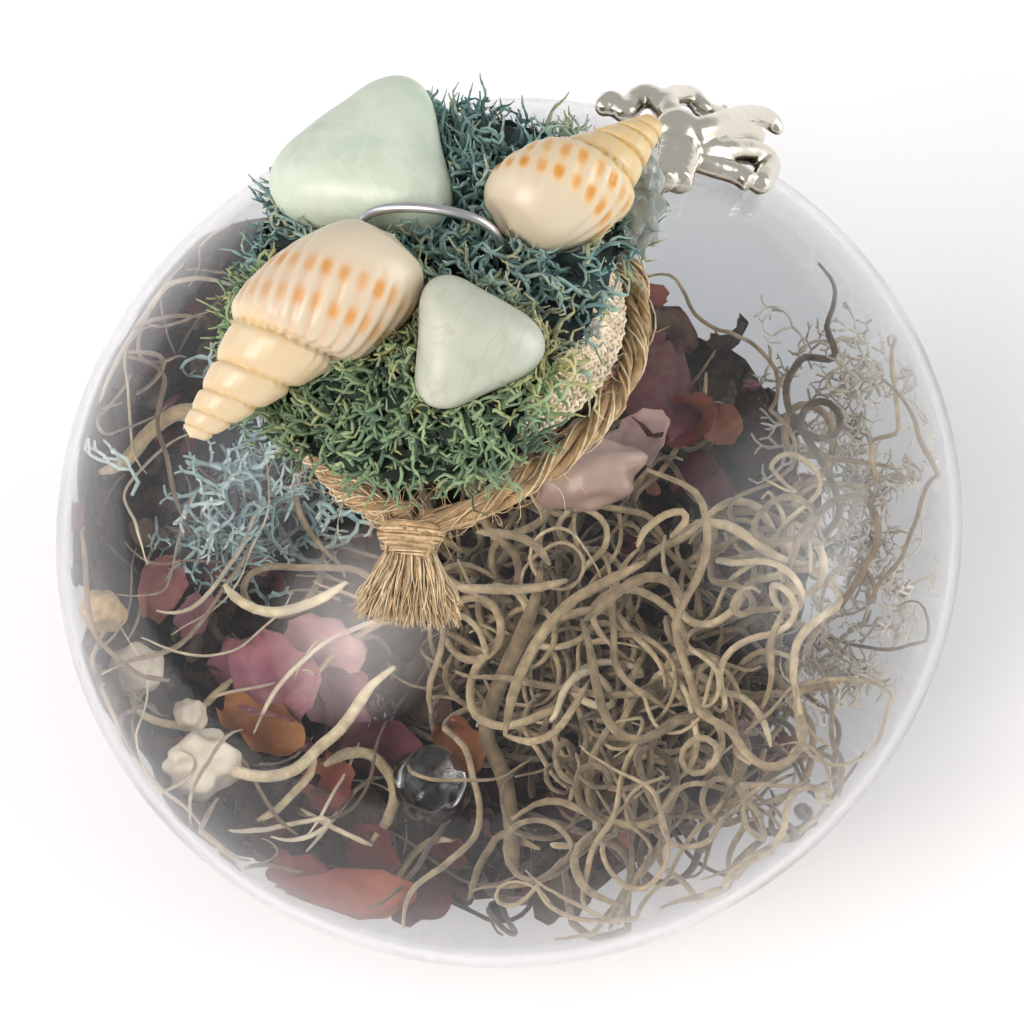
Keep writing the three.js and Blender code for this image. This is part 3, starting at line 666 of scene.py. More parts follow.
def lump(centre, size, rough, seed, rings=24, keep=lambda point: kept_inside(point, 1.2)):
    """A rounded, uneven stone. Size is its three half widths."""
    corners, faces = turned([(math.sin(math.pi * i / rings), -math.cos(math.pi * i / rings))
                             for i in range(rings + 1)], rings * 2)
    shaped = []
    for corner in corners:
        p = Vector(corner)
        grow = 1 + rough * noise.noise(p * 1.6 + Vector((seed, 0, 0)))
        shaped.append(keep(centre + Vector((p.x * size[0], p.y * size[1], p.z * size[2])) * grow))
    return shaped, faces


white_shell = two_colours(
    "bleached shell", [(0.0, "#9c8e78"), (0.5, "#cfc3ae"), (1.0, "#ebe3d3")], 0.4, 2.5, 0.8,
)
# Rose quartz is a milky pink stone that lets some light in below its surface
rose_quartz = two_colours(
    "rose quartz", [(0.0, "#a98576"), (0.5, "#c9ab9b"), (1.0, "#e2cdbf")], 0.3, 2.5, 0.8,
    extra={"Transmission Weight": 0.35, "IOR": 1.54},
)
bud_husk = two_colours("dried bud", [(0.0, "#6d573a"), (0.5, "#b19468"), (1.0, "#d2bd92")], 0.85, 0.8, 0.9)
for name, u, v, lift, size, rough, material in (
    ("white_pebble", 135, 670, 9, (2.6, 2.2, 2.4), 0.25, white_shell),
    ("white_shell_low", 200, 767, 11, (3.2, 2.4, 3.4), 0.5, white_shell),
    ("white_shell_small", 190, 716, 12, (1.5, 1.4, 1.5), 0.3, white_shell),
    ("tan_bud", 102, 612, 8, (1.9, 1.8, 2.2), 0.35, bud_husk),
    ("rose_stone", 590, 475, 30, (4.6, 3.0, 2.6), 0.3, rose_quartz),
):
    shape = new_shape()
    shape["corners"], shape["faces"] = lump(in_ball(u, v, lift), size, rough, len(name))
    shape["tints"] = [0.5] * len(shape["corners"])
    tinted_piece(name, shape, material, "pale_stone")

clear_quartz = finish_material(new_material("clear quartz"), {
    "Base Color": linear("#f2f0ee"), "Roughness": 0.05, "IOR": 1.54, "Transmission Weight": 1.0,
})
for name, u, v, lift, size, rough in (
    ("quartz_chip", 378, 705, 18, (1.6, 1.5, 2.3), 0.5),
    ("glass_bead", 432, 785, 17, (3.6, 3.6, 3.0), 0.1),
):
    corners, faces = lump(in_ball(u, v, lift), size, rough, 3, rings=24 if rough < 0.2 else 6)
    new_piece(name, corners, faces, clear_quartz, "glass", smooth=rough < 0.2)


# Cap: pressed aluminium sheet, crimped over the neck. The moss and the ribbon hide almost all of
# it, so the CAD solid stays and only gets its metal.

pressed_aluminium = new_material("pressed aluminium")
place = add_node(pressed_aluminium, "TexCoord").outputs["Object"]
# Fine scratches from the press, drawn 0.4 mm apart so that they show
scratches = add_node(pressed_aluminium, "TexNoise", {"Vector": place, "Scale": 2500, "Detail": 2})
worn = add_node(pressed_aluminium, "MapRange", {"Value": scratches.outputs["Fac"], "To Min": 0.22,
                                                "To Max": 0.42})
dents = add_node(pressed_aluminium, "Bump", {"Height": scratches.outputs["Fac"], "Distance": 0.00004})
finish_material(pressed_aluminium, {
    "Base Color": linear("#c9cacc"), "Metallic": 1.0, "Roughness": worn.outputs[0],
    "Normal": dents.outputs[0],
})
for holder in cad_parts["cap"].material_slots:
    holder.material = pressed_aluminium


# Wire loop: drawn and nickel-plated steel wire, bent by hand into a low arch over the cap.

GAP = 0.3
WIRE_RADIUS = 0.4
LOOP_WIDTH = 11.4
LOOP_HEIGHT = 8.9
LOOP_ARCH = 4.6
LOOP_SQUARENESS = 0.7
LOOP_TURN = math.radians(-23)
CAP_TOP = NECK_RIM + GAP + 0.6

nickel_wire = new_material("nickel-plated steel wire")
place = add_node(nickel_wire, "TexCoord").outputs["Object"]
drawn = add_node(nickel_wire, "TexNoise", {"Vector": place, "Scale": 1500, "Detail": 3})
worn = add_node(nickel_wire, "MapRange", {"Value": drawn.outputs["Fac"], "To Min": 0.2, "To Max": 0.45})
finish_material(nickel_wire, {"Base Color": linear("#c4c4c6"), "Metallic": 1.0,
                              "Roughness": worn.outputs[0]})

foot = CAP_TOP + GAP
spring = foot + LOOP_HEIGHT - LOOP_ARCH
bent = [(-LOOP_WIDTH / 2, mix(foot, spring, i / 6)) for i in range(6)]
for i in range(61):
    a = math.pi * (1 - i / 60)
    bent.append((LOOP_WIDTH / 2 * math.cos(a), spring + LOOP_ARCH * max(0, math.sin(a)) ** LOOP_SQUARENESS))
bent += [(LOOP_WIDTH / 2, mix(spring, foot, i / 6)) for i in range(1, 7)]
wire_path = [Vector((x * math.cos(LOOP_TURN), x * math.sin(LOOP_TURN), z)) for x, z in bent]
wire = new_shape()
add_tube(wire, wire_path, WIRE_RADIUS, sides=20, taper=0.9)
new_piece("wire_loop", wire["corners"], wire["faces"], nickel_wire, "wire", "hanger_loop")


# Jute ribbon: plain-woven jute, about 7 mm wide, glued round the cap and the neck. At the front
# right its lower edge spreads over the twine. Its yarns are modelled one by one.

BAND_INSIDE = 12.2
BAND_THICKNESS = 0.7
BAND_HEIGHT = 7.4
BAND_FLARE = 2.2
BAND_LIFT = 1.6
BAND_OPEN_SIDE = math.radians(-48)
BAND_TOP = NECK_ROOT + 2 * GAP + BAND_HEIGHT
YARN_RADIUS = 0.2
WEFT_YARNS = 140
WARP_YARNS = 15


def on_band(bearing, low, out):
    """A place on the ribbon: low runs from its top edge to its lower edge."""
    opened = low * low * (0.5 + 0.5 * math.cos(bearing - BAND_OPEN_SIDE)) ** 3
    r = BAND_INSIDE + BAND_THICKNESS / 2 + out + BAND_FLARE * opened
    z = BAND_TOP - low * BAND_HEIGHT + BAND_LIFT * opened
    return Vector((r * math.cos(bearing), r * math.sin(bearing), z))


def fibre_material(name, dark, middle_colour, light, fuzz):
    """Jute: tan plant fibre with a soft shine along it, drawn 0.3 mm wide so that it shows."""
    return two_colours(name, [(0.0, dark), (0.5, middle_colour), (1.0, light)], 0.75, 0.35, 0.5, sheen=fuzz)


woven_jute = fibre_material("woven jute", "#b39672", "#e6d2b2", "#faf0dc", 0.3)
weave = new_shape()
for k in range(WARP_YARNS):
    low = mix(0.02, 0.98, k / (WARP_YARNS - 1))
    path = []
    for i in range(WEFT_YARNS * 2 + 1):
        bearing = 2 * math.pi * i / (WEFT_YARNS * 2)
        path.append(on_band(bearing, low, 0.16 * math.cos(math.pi * (i / 2 + k))))
    add_tube(weave, path, YARN_RADIUS, sides=4, tint=rng.uniform(0.3, 0.7), taper=1)
for i in range(WEFT_YARNS):
    bearing = 2 * math.pi * i / WEFT_YARNS
    path = []
    for k in range(WARP_YARNS * 2 - 1):
        low = mix(0.02, 0.98, k / (WARP_YARNS * 2 - 2))
        path.append(on_band(bearing, low, -0.16 * math.cos(math.pi * (k / 2 + i))))
    add_tube(weave, path, YARN_RADIUS * 1.15, sides=4, tint=rng.uniform(0.45, 1.0), taper=1)
tinted_piece("woven_ribbon", weave, woven_jute, "jute_ribbon", "jute_band")


# Jute twine: three loose plies of long fibres, tied round the foot of the ribbon. Its ends come
# out of the knot as a frayed tassel.

TWINE_DIAMETER = 2.3
TWINE_SLACK = 0.8
TWINE_PULL = 2.4
TWINE_RADIUS = BAND_INSIDE + BAND_THICKNESS + GAP + TWINE_DIAMETER / 2 + TWINE_SLACK
TWINE_LIFT = TWINE_DIAMETER / 2 + GAP
KNOT_BEARING = math.radians(-113)
KNOT_HEIGHT = 3.2
TASSEL_LENGTH = 5
TASSEL_WIDTH = 8.6


def on_glass(r, bearing, lift):
    """A place on the glass shoulder: distance from the axis, bearing, and lift off the surface."""
    rise = glass_height(r) - BALL_MIDDLE
    outward = Vector((r / BALL_RADIUS ** 2, rise / BALL_HALF_HEIGHT ** 2)).normalized()
    reach = r + lift * outward.x
    return Vector((reach * math.cos(bearing), reach * math.sin(bearing),
                   BALL_MIDDLE + rise + lift * outward.y))


def twine_radius(bearing):
    off = (bearing - KNOT_BEARING + math.pi) % (2 * math.pi) - math.pi
    pull = TWINE_PULL * math.exp(-((off / 0.5) ** 2))
    return TWINE_RADIUS - TWINE_SLACK * math.sin(bearing) + pull


def on_twine(bearing, out, turn):
    """A place in the twine: out from its middle line, at a turn about it."""
    r = twine_radius(bearing)
    r += out * math.cos(turn) - TWINE_LIFT * r / BALL_RADIUS
    return on_glass(r, bearing, TWINE_LIFT + out * math.sin(turn))


jute = fibre_material("jute twine", "#7d6143", "#c9a878", "#efdfbd", 0.25)
fibres = new_shape()
PLIES = 3
TWISTS = 7
for ply in range(PLIES):
    core = []
    for i in range(181):
        bearing = KNOT_BEARING + mix(0.02, 2 * math.pi - 0.02, i / 180)
        core.append(on_twine(bearing, 0.55, TWISTS * bearing + 2 * math.pi * ply / PLIES))
    add_tube(fibres, core, 0.46, sides=7, tint=0.3, taper=1)
    for _ in range(34):
        out, phase, twist = rng.uniform(0.4, 0.72), rng.uniform(0, 6.28), rng.uniform(7, 20)
        first = rng.uniform(-0.3, 5.6)
        span = min(rng.uniform(2, 6.2), 6.26 - max(0, first))
        path = []
        steps = int(span * 18) + 2
        for i in range(steps + 1):
            bearing = KNOT_BEARING + 0.02 + max(0, first) + span * i / steps
            middle_line = on_twine(bearing, 0.55, TWISTS * bearing + 2 * math.pi * ply / PLIES)
            turn = twist * bearing + phase
            outward = Vector((math.cos(bearing), math.sin(bearing), 0))
            loose = out * (1 + 0.3 * math.sin(11 * bearing + 5 * phase))
            path.append(middle_line + (outward * math.cos(turn) + Vector((0, 0, math.sin(turn)))) * loose)
        add_tube(fibres, path, rng.uniform(0.06, 0.12), sides=4, tint=rng.uniform(0.2, 1), taper=0.3)

# The knot: wraps of the same fibres round the two ends where they leave the loop
knot_r = twine_radius(KNOT_BEARING)
knot_out = (on_glass(knot_r + 1, KNOT_BEARING, 0) - on_glass(knot_r, KNOT_BEARING, 0)).normalized()
knot_side = Vector((-math.sin(KNOT_BEARING), math.cos(KNOT_BEARING), 0))
knot_up = knot_side.cross(knot_out) * -1
if knot_up.z < 0:
    knot_up.negate()
knot_middle = on_glass(knot_r + 0.5, KNOT_BEARING, KNOT_HEIGHT / 2 + GAP)


def in_knot(out, side, up):
    return knot_middle + knot_out * out + knot_side * side + knot_up * up


for _ in range(70):
    start, wide, high = rng.uniform(-0.9, 1.3), rng.uniform(1.5, 2.45), rng.uniform(0.9, 1.5)
    phase, turns, lean = rng.uniform(0, 6.28), rng.uniform(0.7, 1.6), rng.uniform(-0.5, 0.6)
    path = []
    ruffled = rng.uniform(0, 0.12)
    for i in range(25):
        turn = phase + 2 * math.pi * turns * i / 24
        bulge = 1 + 0.12 * math.cos(2.2 * start) + ruffled * math.sin(2.7 * turn + phase)
        path.append(in_knot(start + lean * i / 24, wide * bulge * math.cos(turn), high * math.sin(turn)))
    add_tube(fibres, path, rng.uniform(0.09, 0.16), sides=5, tint=rng.uniform(0.0, 0.75), taper=0.5)
for side in (-1, 1):
    for _ in range(34):
        spread, high = rng.uniform(-1.1, 1.1), rng.uniform(-1, 1)
        tail = side * rng.uniform(0.12, 0.4)
        path = []
        for i in range(12):
            t = i / 11
            bearing = KNOT_BEARING + mix(tail, 0.02 * side, t)
            a = on_twine(bearing, abs(spread), math.atan2(high, spread))
            b = in_knot(mix(-2.2, 1.8, t), side * 0.9 + spread * 0.8, high * 0.9)
            path.append(a.lerp(b, ramp(t, 0.15, 0.95)))
        add_tube(fibres, path, rng.uniform(0.08, 0.14), sides=4, tint=rng.uniform(0.2, 0.95), taper=0.6)

# The tassel: the plies end in loose fibres that fan out over the glass
for _ in range(640):
    share = rng.uniform(-0.5, 0.5)
    length = TASSEL_LENGTH * rng.uniform(0.7, 1.1)
    level = rng.uniform(0, 1)
    wave, phase = rng.uniform(0.1, 0.6), rng.uniform(0, 6.28)
    path = []
    for i in range(10):
        t = i / 9
        r = knot_r + 1.4 + length * t
        width = mix(3.6, TASSEL_WIDTH, t ** 1.1)
        aside = share * width + wave * math.sin(5 * t + phase) * t
        thick = mix(2.7, 1.7, t) * (1 - 1.6 * share * share)
        path.append(on_glass(r, KNOT_BEARING - aside / r,
                             GAP + level * thick + 0.5 * wave * math.cos(4 * t + phase)))
    add_tube(fibres, path, rng.uniform(0.05, 0.09), sides=3, tint=rng.uniform(0.3, 1), taper=0.4)


def clear_of_glass(point, lift=0.15):
    """The point itself, or lifted to just off the outside of the glass shoulder."""
    r = math.hypot(point.x, point.y)
    if r >= BALL_RADIUS:
        return point
    lowest = glass_height(r) + lift
    return point if point.z > lowest else Vector((point.x, point.y, lowest))


# Stray hairs stand off the twine, the knot and the tassel
for _ in range(240):
    bearing = rng.choice([rng.uniform(-math.pi, math.pi), KNOT_BEARING + rng.gauss(0, 0.4)])
    start = on_twine(bearing, 0.9, rng.uniform(0, 6.28))
    heading = Vector((rng.gauss(0, 1), rng.gauss(0, 1), rng.gauss(0, 0.6)))
    path = wandering(rng, start, heading, rng.uniform(1.5, 6), 0.5, 0.5, clear_of_glass)
    add_tube(fibres, path, 0.035, sides=3, tint=rng.uniform(0.3, 0.9))
tinted_piece("jute_twine", fibres, jute, "jute_twine", "twine")


# Tumbled stones: pale green amazonite, smooth and satin from the tumbler, with cloudy whiter
# patches. Each is a rounded triangle, thick as a pillow.

def fine_skin(segments, rings, shape):
    """A closed skin from shape(turn, along), smooth enough to show no facets."""
    corners, faces = turned([(math.sin(math.pi * i / rings), -math.cos(math.pi * i / rings))
                             for i in range(rings + 1)], segments)
    skin = []
    for x, y, z in corners:
        along = math.acos(min(1, max(-1, -z))) / math.pi
        skin.append(shape(math.atan2(y, x), along))
    return skin, faces


SIDE_REACH = 0.85


def tumbled(radius, thickness, corner, lean, lean_to):
    """A pillow whose plan is a rounded triangle, with one corner at a bearing."""
    def shape(turn, along):
        sides = [max(0, math.cos(turn - corner - math.radians(side))) for side in (60, 180, 300)]
        plan = SIDE_REACH / math.hypot(*sides) + lean * math.cos(turn - lean_to)
        height = -math.cos(math.pi * along)
        r = radius * plan * max(0, math.sin(math.pi * along)) ** 0.75
        z = thickness / 2 * math.copysign(abs(height) ** 0.85, height)
        dent = 1 + 0.012 * noise.noise(Vector((2 * math.cos(turn), 2 * math.sin(turn), 3 * height)))
        return Vector((r * dent * math.cos(turn), r * dent * math.sin(turn), z * dent))
    return fine_skin(120, 60, shape)


def cloudy_stone(name, low, high, vein):
    material = new_material(name)
    place = add_node(material, "TexCoord").outputs["Object"]
    clouds = add_node(material, "TexNoise", {"Vector": place, "Scale": 190, "Detail": 4, "Distortion": 0.6})
    veins = add_node(material, "TexNoise", {"Vector": place, "Scale": 110, "Detail": 2, "Distortion": 2.5})
    # A thin line runs where the noise crosses its middle value
    off = add_node(material, "Math", {0: veins.outputs["Fac"], 1: 0.5}, operation="SUBTRACT")
    away = add_node(material, "Math", {0: off.outputs[0]}, operation="ABSOLUTE")
    thin = add_node(material, "MapRange", {
        "Value": away.outputs[0], "From Max": 0.03, "To Min": 0.35, "To Max": 0.0,
    })
    body = add_node(material, "ValToRGB", {"Fac": clouds.outputs["Fac"]})
    body.color_ramp.elements[0].position = 0.36
    body.color_ramp.elements[0].color = linear(low)
    body.color_ramp.elements[1].position = 0.66
    body.color_ramp.elements[1].color = linear(high)
    # A mix of colours has its factor at input 0, its colours at 6 and 7, and its result at output 2
    veined = add_node(material, "Mix", {
        0: thin.outputs[0], 6: body.outputs["Color"], 7: linear(vein),
    }, data_type="RGBA")
    pits = add_node(material, "TexNoise", {"Vector": place, "Scale": 900, "Detail": 2})
    skin = add_node(material, "Bump", {"Height": pits.outputs["Fac"], "Distance": 0.00003, "Strength": 0.5})
    worn = add_node(material, "MapRange", {"Value": pits.outputs["Fac"], "To Min": 0.25, "To Max": 0.42})
    return finish_material(material, {
        "Base Color": veined.outputs[2], "Roughness": worn.outputs[0],
        "IOR": 1.53, "Normal": skin.outputs[0],
    })


LARGE_RADIUS = 7
SMALL_RADIUS = 4.9
LEFT_LENGTH, LEFT_WIDTH = 23, 11
RIGHT_LENGTH, RIGHT_WIDTH = 15.8, 9.4
SEAT = max(CAP_TOP, BAND_TOP) + GAP
left_whorl = Vector((-LOOP_WIDTH * 0.33 - LEFT_WIDTH / 2, -4.3, SEAT + LEFT_WIDTH / 2 + GAP))
right_whorl = Vector((LOOP_WIDTH / 2 + RIGHT_WIDTH * 0.55, 0.8, SEAT + RIGHT_WIDTH / 2 + GAP))
large_place = Vector((-2.7, LOOP_WIDTH * 0.22 + LARGE_RADIUS * 0.9, SEAT + 4 + GAP))
small_place = left_whorl + Vector((9.6, -6.2, -1.2)).normalized() * (LEFT_WIDTH / 2 + SMALL_RADIUS + 5 * GAP)
large_turn = Matrix.Rotation(math.radians(-3), 3, "X") @ Matrix.Rotation(math.radians(-4), 3, "Y")
small_turn = Matrix.Rotation(math.radians(30), 3, "X")

amazonite = cloudy_stone("tumbled amazonite", "#bccab6", "#cdd8c5", "#d6dccb")
pale_amazonite = cloudy_stone("pale tumbled amazonite", "#adb3a2", "#bfc2b2", "#a3a28e")
corners, faces = tumbled(LARGE_RADIUS, 8, math.radians(58), 0.07, math.pi)
new_piece("large_stone", [large_turn @ c + large_place for c in corners], faces, amazonite,
          "pale_stone", "stone_large")
corners, faces = tumbled(SMALL_RADIUS, 6, math.radians(-18), 0.06, math.radians(-20))
new_piece("small_stone", [small_turn @ c + small_place for c in corners], faces, pale_amazonite,
          "pale_stone", "stone_small")


# Whelk shells: two small ribbed whelks with their tips outward. The shell is hard and slightly
# glossy, cream to white, with orange spots between its ribs in two spiral bands.

SEAM_SHARE = 0.46
SEAM_SHIFT = 0.12
SEAM_DEPTH = 0.2
WHORL_GROWTH = 1.38
WHORL_LEAN = 0.12
WHORL_SLOPE = 0.2
BODY_SHARE = 0.665
BODY_REACH = 0.335
BODY_BLUNT = 2.4
SHOULDER = 0.88
RIB_LEAN = 2.1


def whelk_outline(along, turn):
    """The share of the full width at a share along, on the side at a turn."""
    lean = WHORL_LEAN * (1 - ramp(along, BODY_SHARE, 1))
    s = along * (1 - lean * math.sin(turn))
    if s < SEAM_SHARE:
        return 0.17 + 1.3 * s
    off = min(1, abs(s - BODY_SHARE) / BODY_REACH)
    body = (1 - off ** BODY_BLUNT) ** (1 / BODY_BLUNT)
    return max(body, SHOULDER) if s < BODY_SHARE else body


def whelk(length, width, place, bearing, dip, ribs):
    """Corners, faces, rib heights and shares from the tip, of a shell laid with its back up."""
    level = math.cos(math.radians(dip))
    to_tip = Vector((level * math.cos(math.radians(bearing)), level * math.sin(math.radians(bearing)),
                     -math.sin(math.radians(dip))))
    to_mouth = -to_tip
    back = (Vector((0, 0, 1)) - to_mouth * to_mouth.z).normalized()
    side = to_mouth.cross(back)
    tip = place + to_tip * length * BODY_SHARE
    heights, shares, turns = [], [], []

    def shape(turn, along):
        s = mix(along, 0.5 - 0.5 * math.cos(math.pi * along), 0.5)
        whorl = math.log((s + SEAM_SHIFT) / (SEAM_SHARE + SEAM_SHIFT)) / math.log(WHORL_GROWTH)
        spiral = (whorl - turn / (2 * math.pi)) % 1
        seam = abs(2 * spiral - 1) ** 5
        fade = 1 - ramp(s, SEAM_SHARE + 0.06, SEAM_SHARE + 0.16)
        ends = ramp(along, 0, 0.05) * ramp(1 - along, 0, 0.08)
        r = width / 2 * whelk_outline(s, turn) * (1 - SEAM_DEPTH * fade * seam) * ends
        rib = 0.5 + 0.5 * math.cos(ribs * (turn + RIB_LEAN * (s - 0.5)))
        strong = mix(0.14, 1, ramp(s, 0.42, 0.52)) * ramp(s, 0.03, 0.2) * (1 - ramp(s, 0.76, 0.88))
        cords = 0.004 * math.cos(2 * math.pi * s * length / 0.5)
        r *= 1 + 0.04 * strong * (rib ** 0.6 - 0.6) + cords * fade
        heights.append(rib)
        shares.append(s)
        turns.append(turn)
        slope = WHORL_SLOPE * r * math.sin(turn)
        return tip + (back * math.cos(turn) + side * math.sin(turn)) * r + to_mouth * (length * s + slope)

    corners, faces = fine_skin(198, 140, shape)
    return corners, faces, heights, shares, turns


def shell_material(name, faint, spot, wash):
    """Shell: cream porcelain-like gloss, with a warm wash on the spire and spots over faint bands."""
    material = new_material(name)
    place = add_node(material, "TexCoord").outputs["Object"]
    tint = add_node(material, "Attribute", attribute_name="tint").outputs["Fac"]
    warm = add_node(material, "Attribute", attribute_name="wash").outputs["Fac"]
    speck = add_node(material, "TexNoise", {"Vector": place, "Scale": 420, "Detail": 3})
    base = add_node(material, "Mix", {0: warm, 6: linear("#d0c4ae"), 7: linear(wash)}, data_type="RGBA")
    uneven = add_node(material, "MapRange", {"Value": speck.outputs["Fac"], "To Min": 0.5, "To Max": 1.3})
    strength = add_node(material, "Math", {0: tint, 1: uneven.outputs[0]}, operation="MULTIPLY",
                        use_clamp=True)
    # The tint first turns the shell to the faint colour and then to that of the spots
    first = add_node(material, "MapRange", {"Value": strength.outputs[0], "From Max": 0.25})
    second = add_node(material, "MapRange", {"Value": strength.outputs[0], "From Min": 0.2, "From Max": 0.9})
    washed = add_node(material, "Mix", {
        0: first.outputs[0], 6: base.outputs[2], 7: linear(faint),
    }, data_type="RGBA")
    spotted = add_node(material, "Mix", {
        0: second.outputs[0], 6: washed.outputs[2], 7: linear(spot),
    }, data_type="RGBA")
    fine = add_node(material, "Bump", {"Height": speck.outputs["Fac"], "Distance": 0.00003, "Strength": 0.4})
    return finish_material(material, {
        "Base Color": spotted.outputs[2], "Roughness": 0.3, "IOR": 1.53, "Normal": fine.outputs[0],
    })


def shell_piece(name, node, material, length, width, place, bearing, dip, ribs, bands):
    """A shell piece. Each band of spots has its share from the tip, its width and its strength."""
    corners, faces, heights, shares, turns = whelk(length, width, place, bearing, dip, ribs)
    piece = new_piece(name, corners, faces, material, "shell", node)
    spots, wash = [], []
    for rib, s, turn in zip(heights, shares, turns):
        groove = (1 - rib) ** 0.6
        level = s - 0.07 * math.sin(turn)
        # No two spots of a band are equally strong
        uneven = 0.8 + 0.7 * noise.noise(Vector((2.5 * turn, 9 * s, length)))
        near = uneven * max(math.exp(-abs((level - band) / wide) ** 3) * deep for band, wide, deep in bands)
        faint = 0.22 * ramp(s, 0.46, 0.54) * (1 - ramp(level, 0.74, 0.84))
        spots.append(near * ramp(groove, 0.2, 0.9) + faint * groove)
        whorl = math.log((s + SEAM_SHIFT) / (SEAM_SHARE + SEAM_SHIFT)) / math.log(WHORL_GROWTH)
        seam = abs(2 * ((whorl - turn / (2 * math.pi)) % 1) - 1) ** 8
        spire = 1 - ramp(s, 0.42, 0.56)
        wash.append(min(1, spire * (0.3 + 0.25 * groove + 0.6 * seam) + 0.1))
    for key, values in (("tint", spots), ("wash", wash)):
        layer = piece.data.attributes.new(key, "FLOAT", "POINT")
        layer.data.foreach_set("value", values)
    return piece


shell_piece("left_shell", "shell_left", shell_material("orange-spotted whelk", "#d3b898", "#cf9450",
                                                       "#dbbd88"),
            LEFT_LENGTH, LEFT_WIDTH, left_whorl, 206, 15.6, 22, [(0.59, 0.035, 0.7), (0.725, 0.032, 0.85)])
shell_piece("right_shell", "shell_right", shell_material("yellow-spotted whelk", "#dcc094", "#d0913c",
                                                         "#dfb868"),
            RIGHT_LENGTH, RIGHT_WIDTH, right_whorl, 28, 3, 18, [(0.59, 0.045, 0.85), (0.735, 0.04, 0.95)])


# Reindeer moss: preserved and dyed lichen in fine branching tufts, glued on as a springy heap,
# blue-green behind and green in front. Each tuft is modelled; a dark core of painted shade fills the heap.

SHADE_CORE_DEPTH = 1.1
SHADE_CORE_BARED_RADIUS = 11.5
PARTING_ACROSS = (math.cos(math.radians(53)), math.sin(math.radians(53)))
PARTING_OFFSET = -5.2
hard_corners, hard_faces = [], []
for node in ("stone_large", "stone_small", "shell_left", "shell_right", "hanger_loop", "jute_band"):
    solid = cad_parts[node].data
    first = len(hard_corners)
    hard_corners += [v.co / MM for v in solid.vertices]
    hard_faces += [[first + k for k in face.vertices] for face in solid.polygons]
hard_pieces = BVHTree.FromPolygons(hard_corners, hard_faces)
MOSS_CLEARANCE = 0.3


def off_pieces(point):
    """The point itself, or pushed out of a stone, a shell, the wire or the ribbon, or off the glass."""
    place, normal, _, distance = hard_pieces.find_nearest(point, 3)
    if place is not None:
        out = (point - place).dot(normal)
        if out < MOSS_CLEARANCE:
            point = place + normal * MOSS_CLEARANCE
    return clear_of_glass(point)


def add_sprig(shape, start, heading, out, length, radius, tint, forks):
    """A curving strand that keeps near the heap's face, with forked side branches."""
    path = wandering(rng, start, heading, length, 0.6, 0.65, off_pieces)
    add_tube(shape, path, radius, sides=4, tint=tint, taper=0.6)
    for i in range(2, len(path), 2):
        ahead = (path[i] - path[i - 1]).normalized()
        across = ahead.cross(out) * rng.choice((-1, 1)) + out * rng.uniform(-0.2, 1.1)
        branch = ahead * rng.uniform(0.2, 0.9) + across
        side_length = rng.uniform(0.8, 1.5)
        if forks:
            add_sprig(shape, path[i], branch, out, side_length * 1.2, radius * 0.88,
                      tint + rng.uniform(0, 0.12), 0)
        else:
            tip = [path[i], off_pieces(path[i] + branch.normalized() * side_length * 0.4)]
            tip.append(off_pieces(tip[1] + (branch.normalized() + out * 0.5) * side_length * 0.35))
            add_tube(shape, tip, lambda share: radius * mix(0.85, 0.35, share), sides=3, tint=tint + 0.1)


def bared(place):
    """How far the moss is held back at a place, from 0 to 1, so that the ribbon and twine show."""
    bearing = math.atan2(place.y, place.x)
    return math.exp(-(((bearing + 0.72) / 0.62) ** 4)) * (1 - ramp(place.z, SEAT - 1.5, SEAT + 1))


